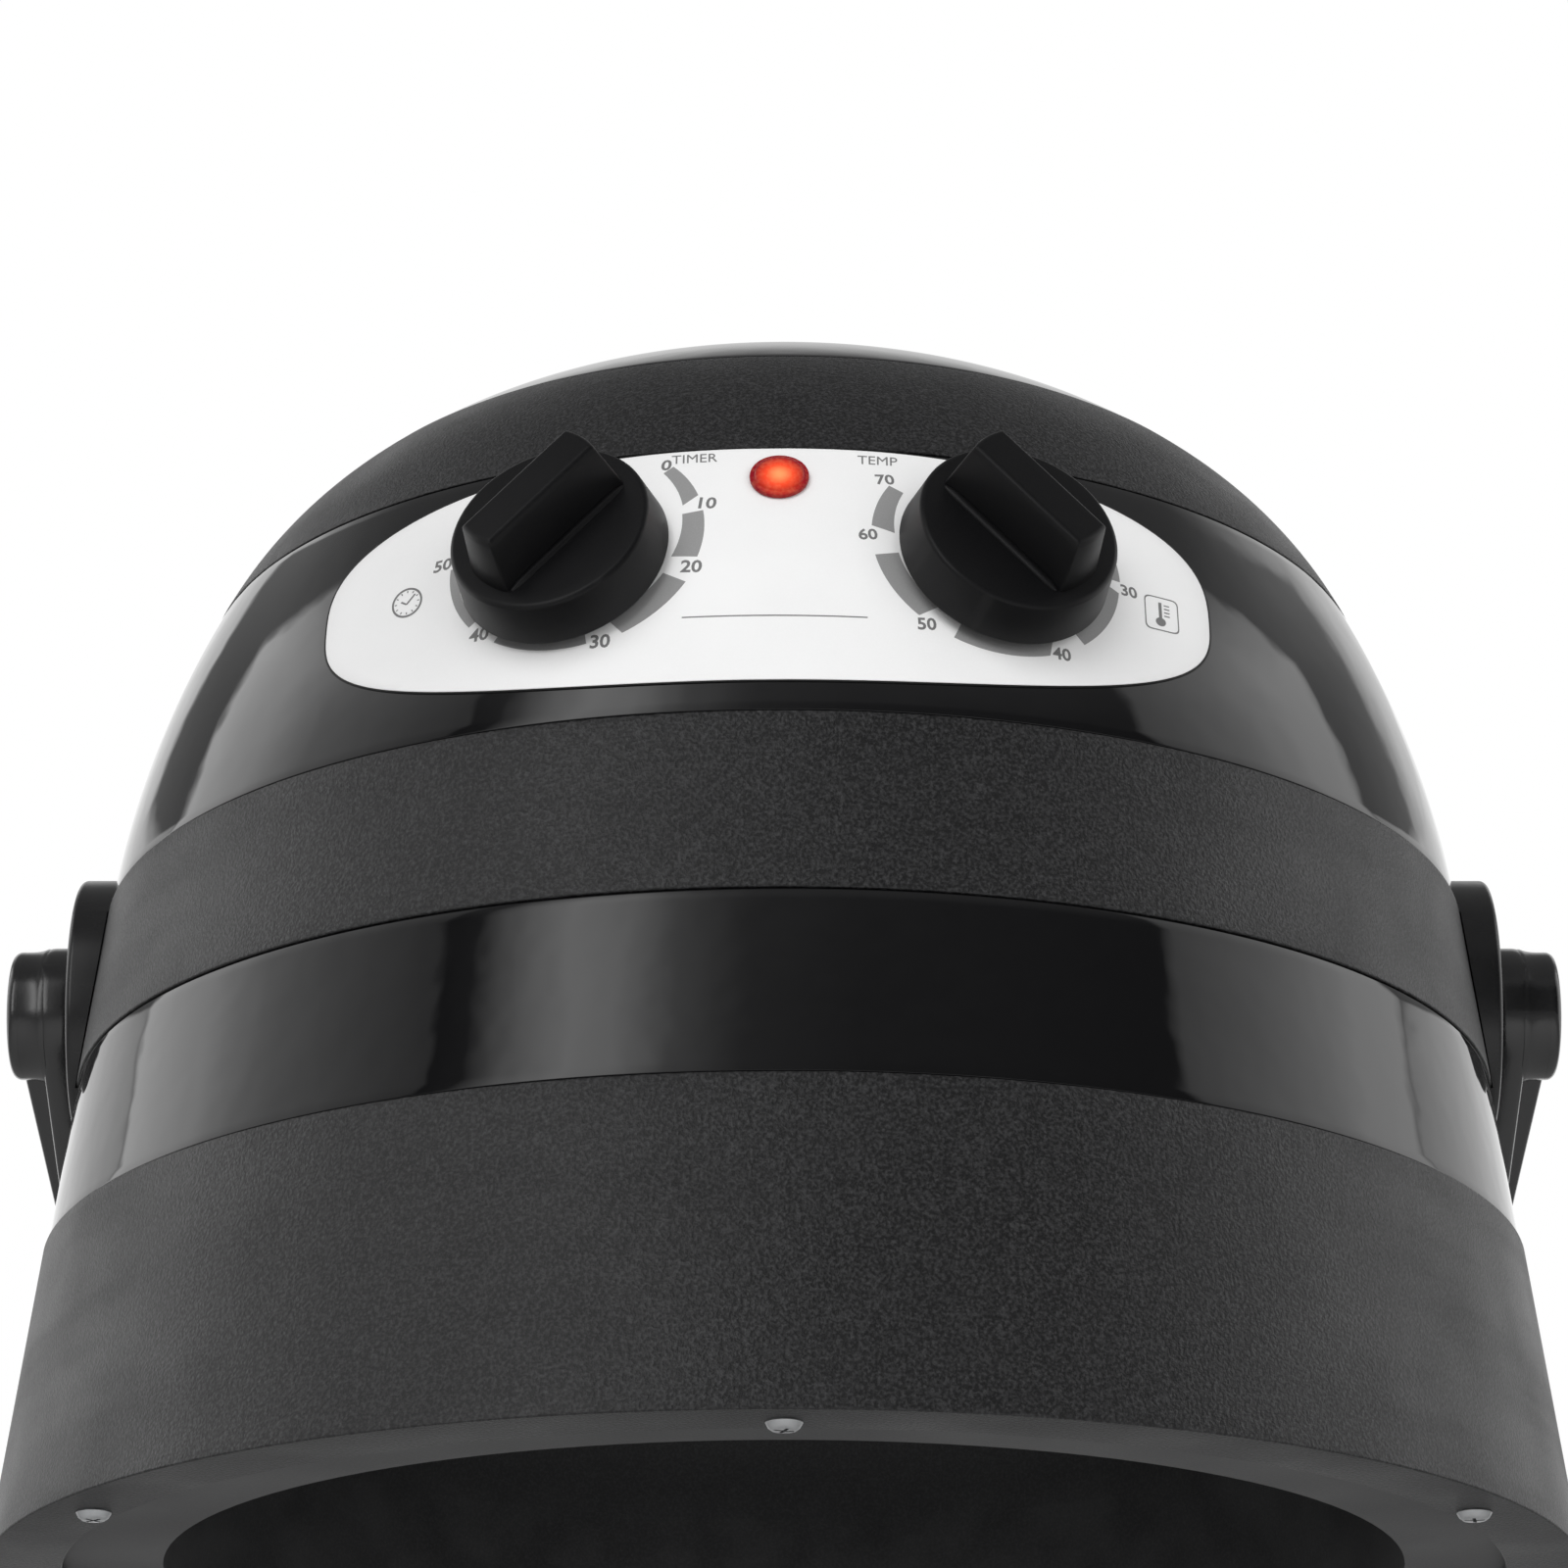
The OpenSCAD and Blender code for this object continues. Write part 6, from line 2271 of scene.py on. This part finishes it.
@dataclass
class Castor:
    """One twin-wheel castor: its swivelling cover and fork, and its pair of wheels."""

    number: int
    reach: float = 290.0
    leg_low: float = 58.0
    wheel: float = 25.0
    wide: float = 16.0
    trail: float = 17.0
    web: float = 6.0
    cover: float = 2.2
    stem: float = 5.5
    arch: float = 110.0

    @property
    def place(self) -> Matrix:
        """Place of the swivel axis on the floor."""
        x, y = polar(self.reach, radians(-90 + 72 * (self.number - 1)))
        return moved(x, y, 0)

    def axle(self) -> Matrix:
        """Place whose local z runs along the axle."""
        return self.place @ moved(0, self.trail, self.wheel) @ turned(90, "Y")

    def fork(self) -> None:
        """Makes the fork: stem, plate, web and the arched cover."""
        top, r, web = self.leg_low - 0.3, self.stem, self.web / 2
        stem = [(0.0, top - 4), (10.8, top - 4), (11.5, top - 3.4), (11.5, top - 0.6)]
        stem += [(10.9, top), (r, top), (r, top + 10.2), (r - 0.8, top + 11.0), (0.0, top + 11.0)]
        form = Form(self.place).revolve(stem, 64)
        half, inner, edge = web + self.wide + 0.9, self.wheel + 2, 0.8
        outer = inner + self.cover
        band = [(inner, -half), (outer - edge, -half), (outer, -half + edge)]
        band += [(x, -z) for x, z in reversed(band)]
        turns = [radians(self.arch + 180 * i / 40) for i in range(41)]
        rings = [[(*polar(x, t), z) for x, z in band] for t in turns]
        form.add(Form(self.axle()).loft(rings))
        middle = outer - self.cover / 2
        half_disc = [polar(middle, radians(self.arch + 5 * i)) for i in range(37)]
        form.add(Form(self.axle()).prism(half_disc, -web + 0.05, web - 0.05))
        hub = rectangle((4.05, -web), (self.wheel - 4, web))
        form.add(Form(self.axle()).revolve(hub, 64))
        neck = rounded(rectangle((-web, -self.stem), (web, self.trail)), 1.0, 3)
        form.add(Form(self.place).prism(neck, self.wheel + 4, top - 3))
        i, obj = self.number, form.piece(f"castor_cover_{self.number}", 35.0)
        finished(obj, PALETTE.castor, Slot.CASTOR, f"castor_{i}", f"castor_fork_{i}")

    def wheels(self) -> None:
        """Makes both wheels with a crowned tread and a dished hub."""
        form, r, web = Form(), self.wheel, self.web / 2
        near = web + 0.4
        far = near + self.wide
        profile = [(0.0, near), (r - 1.2, near), (r - 0.3, near + 0.3), (r, near + 1.2)]
        profile += [(r, far - 3.0), (r - 0.25, far - 2.0), (r - 1.0, far - 0.7), (r - 2.2, far)]
        profile += [(r - 6.6, far), (r - 7.4, far - 0.5), (r - 8.6, far - 1.9)]
        profile += [(7.5, far - 2.4), (7.0, far - 1.4), (6.4, far - 1.0), (0.0, far - 0.9)]
        for side in Turn:
            place = self.place @ moved(0, self.trail, self.wheel) @ turned(side.value * 90, "Y")
            form.add(Form(place).revolve(profile, 96))
        pin = rectangle((0.0, -web - 1), (4.0, web + 1))
        form.add(Form(self.axle()).revolve(pin, 32, closed=False))
        i, obj = self.number, form.piece(f"castor_rollers_{self.number}", 32.0)
        finished(obj, PALETTE.wheel, Slot.WHEEL, f"wheels_{i}", f"castor_wheels_{i}")

    def build(self) -> None:
        """Builds and dresses the castor."""
        self.fork()
        self.wheels()


# ---- carried-over solids


def dress_solids() -> None:
    """Gives every CAD node that stays its finish."""
    finishes = (
        (PALETTE.inner, "inner_shell inner_wall"), (PALETTE.galvanised, "air_deck"),
        (PALETTE.motor, "motor_body fan_shaft"), (PALETTE.mica, "heater_frame"),
        (PALETTE.wire, "heater_coil"), (PALETTE.castor, "fan_wheel"),
        (PALETTE.switch, "timer_body lamp_body terminal_block tube_bush"),
        (PALETTE.zinc, "thermal_cutout thermostat_body timer_spindle temp_spindle"),
        (PALETTE.zinc, "pivot_bolts pivot_nuts"), (PALETTE.rubber, "pivot_washers"),
        (PALETTE.satin, "cord_gland pole_spigot pole_foot"),
        (PALETTE.chrome, "pole_upper pole_lower"),
    )
    for finish, nodes in finishes:
        for node in nodes.split():
            dress_node(node, finish)
            LOG.info("%s dressed", node)


# ---- studio


@dataclass(frozen=True)
class SoftLight:
    """A rectangular studio light, in metres and watts, that polished faces don't mirror."""

    name: str
    spot: Triple
    aim: Triple
    size: tuple[float, float]
    power: float

    def build(self) -> None:
        """Hangs the light."""
        lamp = bpy.data.lights.new(self.name, "AREA")
        lamp.shape, lamp.energy = "RECTANGLE", self.power
        lamp.size, lamp.size_y = self.size
        obj = placed(self.name, lamp)
        aim = Vector(self.aim) - Vector(self.spot)
        obj.rotation_mode = "QUATERNION"
        obj.rotation_quaternion = aim.to_track_quat("-Z", "Y")
        obj.location = self.spot
        obj.visible_glossy = False


@dataclass(frozen=True)
class Panels:
    """What polished faces mirror round the dryer: pale panels, dark gaps and the white behind.

    Each stop is an azimuth from the front in degrees, a brightness, and 1 where the white
    background shows below the panels.
    """

    stops: tuple[Triple, ...] = (
        (-180, 0.75, 1), (-165, 1.1, 1), (-150, 1.15, 1), (-148.5, 0.26, 1),
        (-128.5, 0.28, 1), (-127, 2.0, 0),
        (-108, 1.9, 0), (-92, 1.1, 0), (-72, 0.62, 0), (-59, 0.34, 0), (-58, 0.03, 0),
        (-52, 0.08, 0), (-42, 1.8, 0), (-35, 2.7, 0), (-28, 2.3, 0), (-18, 0.8, 0), (-6, 0.2, 0),
        (12, 0.08, 0), (65.5, 0.03, 0), (66.5, 0.68, 0), (85, 1.2, 0), (106, 1.8, 0), (119, 1.5, 0),
        (120.5, 0.32, 1), (141, 0.36, 1), (143, 0.8, 1), (152, 1.1, 1), (180, 0.75, 1),
    )
    brightest: float = 4.0

    def ramp(self, nodes: Nodes) -> Node:
        """Makes the ramp over a full turn, its colour a share of the brightest value.

        Args:
            nodes: the world's nodes.

        Returns:
            The ramp.
        """
        made = nodes.node("ShaderNodeValToRGB")
        marks = made.color_ramp.elements
        for azimuth, light, behind in self.stops:
            place = (azimuth + 180) / 360
            mark = marks[0] if place == 0 else marks[-1] if place == 1 else marks.new(place)
            mark.color = (*[light / self.brightest] * 3, behind)
        return made


@dataclass
class Studio:
    """The pale floor, the white surround, the lights and the camera."""

    ambient: float = 0.30
    overhead: float = 0.22
    background: float = 1.15
    panel_fade: Flat = (0.6, 0.8)
    overhead_fade: Flat = (0.5, 0.72)
    background_fade: Flat = (0.39, 0.43)
    size: float = 9.0
    lens: float = 118.1
    eye: Triple = (0.0, -1.4632, 0.8924)
    look_up: float = 20.05

    def world(self) -> None:
        """White to the camera, an even glow on surfaces, and the panels in polished faces."""
        world = bpy.data.worlds.new("studio")
        bpy.context.scene.world = world
        world.use_nodes = True
        nodes, soft = Nodes(world.node_tree), "SMOOTHSTEP"
        nodes.tree.nodes.clear()
        node, join, step, span = nodes.node, nodes.join, nodes.math, nodes.span
        apart = node("ShaderNodeSeparateXYZ")
        join(node("ShaderNodeTexCoord").outputs["Generated"], apart.inputs[0])
        x, y, up = apart.outputs
        turn = step("ARCTAN2", x, step("MULTIPLY", y, -1.0))
        above = step("MAXIMUM", step("SUBTRACT", up, self.panel_fade[0]), 0.0)
        turn = step("MULTIPLY", turn, step("MULTIPLY_ADD", above, 1.1, 1.0))
        panels = Panels()
        ramp = panels.ramp(nodes)
        join(step("MULTIPLY_ADD", turn, 0.5 / pi, 0.5), ramp.inputs[0])
        seen = step("MULTIPLY", ramp.outputs["Color"], panels.brightest)
        seen = step("MULTIPLY", seen, span(up, self.panel_fade, 1.0, 0.0, soft))
        seen = step("ADD", seen, span(up, self.overhead_fade, 0.0, self.overhead, soft))
        fade = span(up, self.background_fade, self.background, 0.0, soft)
        seen = step("MAXIMUM", seen, step("MULTIPLY", ramp.outputs["Alpha"], fade))
        path = node("ShaderNodeLightPath").outputs
        mirrored = step("MAXIMUM", path["Is Glossy Ray"], path["Is Transmission Ray"])
        shown = nodes.either(mirrored, self.ambient, seen)
        sky = node("ShaderNodeBackground")
        join((1.0, 1.0, 1.0, 1.0), sky.inputs["Color"])
        join(nodes.either(path["Is Camera Ray"], shown, 1.0), sky.inputs["Strength"])
        join(sky.outputs[0], node("ShaderNodeOutputWorld").inputs[0])

    def floor(self) -> None:
        """Lays the floor."""
        mesh = bpy.data.meshes.new("studio_floor")
        corners = rectangle((-self.size, -self.size), (self.size, self.size))
        mesh.from_pydata([(x, y, 0) for x, y in corners], [], [(0, 1, 2, 3)])
        obj = placed("studio_floor", mesh)
        shade = Shade("pale studio floor")
        shade.constants(Specular_IOR_Level=0.2)
        tint = shade.put(EFFECTS.mottle, Scale=3.0, Low=0.0, High=1.0)
        colour = shade.blend(tint[0], grey(0.86), grey(0.88))
        even = shade.put(EFFECTS.mottle, Scale=2.0, Low=0.75, High=0.85)
        obj.data.materials.append(shade.done(colour, even[0]))
        obj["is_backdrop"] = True

    def lights(self) -> None:
        """Hangs the lights."""
        hood = (0.0, -0.30, 1.32)
        SoftLight("key", (-0.9, -2.6, 2.7), hood, (2.2, 1.8), 48.0).build()
        SoftLight("fill", (1.6, -2.6, 1.7), hood, (2.0, 2.4), 24.0).build()
        SoftLight("overhead", (0.0, 0.2, 3.2), hood, (2.2, 1.6), 4.0).build()

    def camera(self) -> None:
        """Sets the camera a little below the hood, looking up at it."""
        data = bpy.data.cameras.new("view")
        data.lens, data.sensor_width = self.lens, 36.0
        data.clip_start, data.clip_end = 0.05, 60.0
        obj = placed("view", data)
        obj.location = self.eye
        obj.rotation_euler = (radians(90 + self.look_up), 0.0, 0.0)
        bpy.context.scene.camera = obj

    def build(self) -> None:
        """Builds the studio."""
        self.world()
        self.floor()
        self.lights()
        self.camera()
        bpy.context.scene.view_settings.view_transform = "Standard"


# ---- assembly


def build_dryer() -> None:
    """Builds every sub-assembly in order."""
    HoodShells().build()
    ControlPanel().build()
    Lamp().build()
    Knob(Turn.LEFT, "timer_dial", "timer", 50.0, "timer_knob").build()
    Knob(Turn.RIGHT, "heat_dial", "temperature", 130.0, "temp_knob").build()
    for side in Turn:
        PivotPad(side).build()
        YokeArm(side).build()
    YokeArm.build_caps()
    YokeHub().build()
    RimScrews().build()
    Diffuser().build()
    HeightClamp().build()
    FootHub().build()
    FootLegs().build()
    for number in range(1, 6):
        Castor(number).build()
    dress_solids()


def write_sizes() -> None:
    """Gathers the CAD box and the dressed model's box."""
    both = (("cad", CAD_BOX), ("visual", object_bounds()))
    boxes = {name: [list(corner) for corner in box] for name, box in both}


def main() -> None:
    """Builds the studio and the dryer."""
    Studio().build()
    build_dryer()
    write_sizes()


if __name__ == "__main__":
    main()
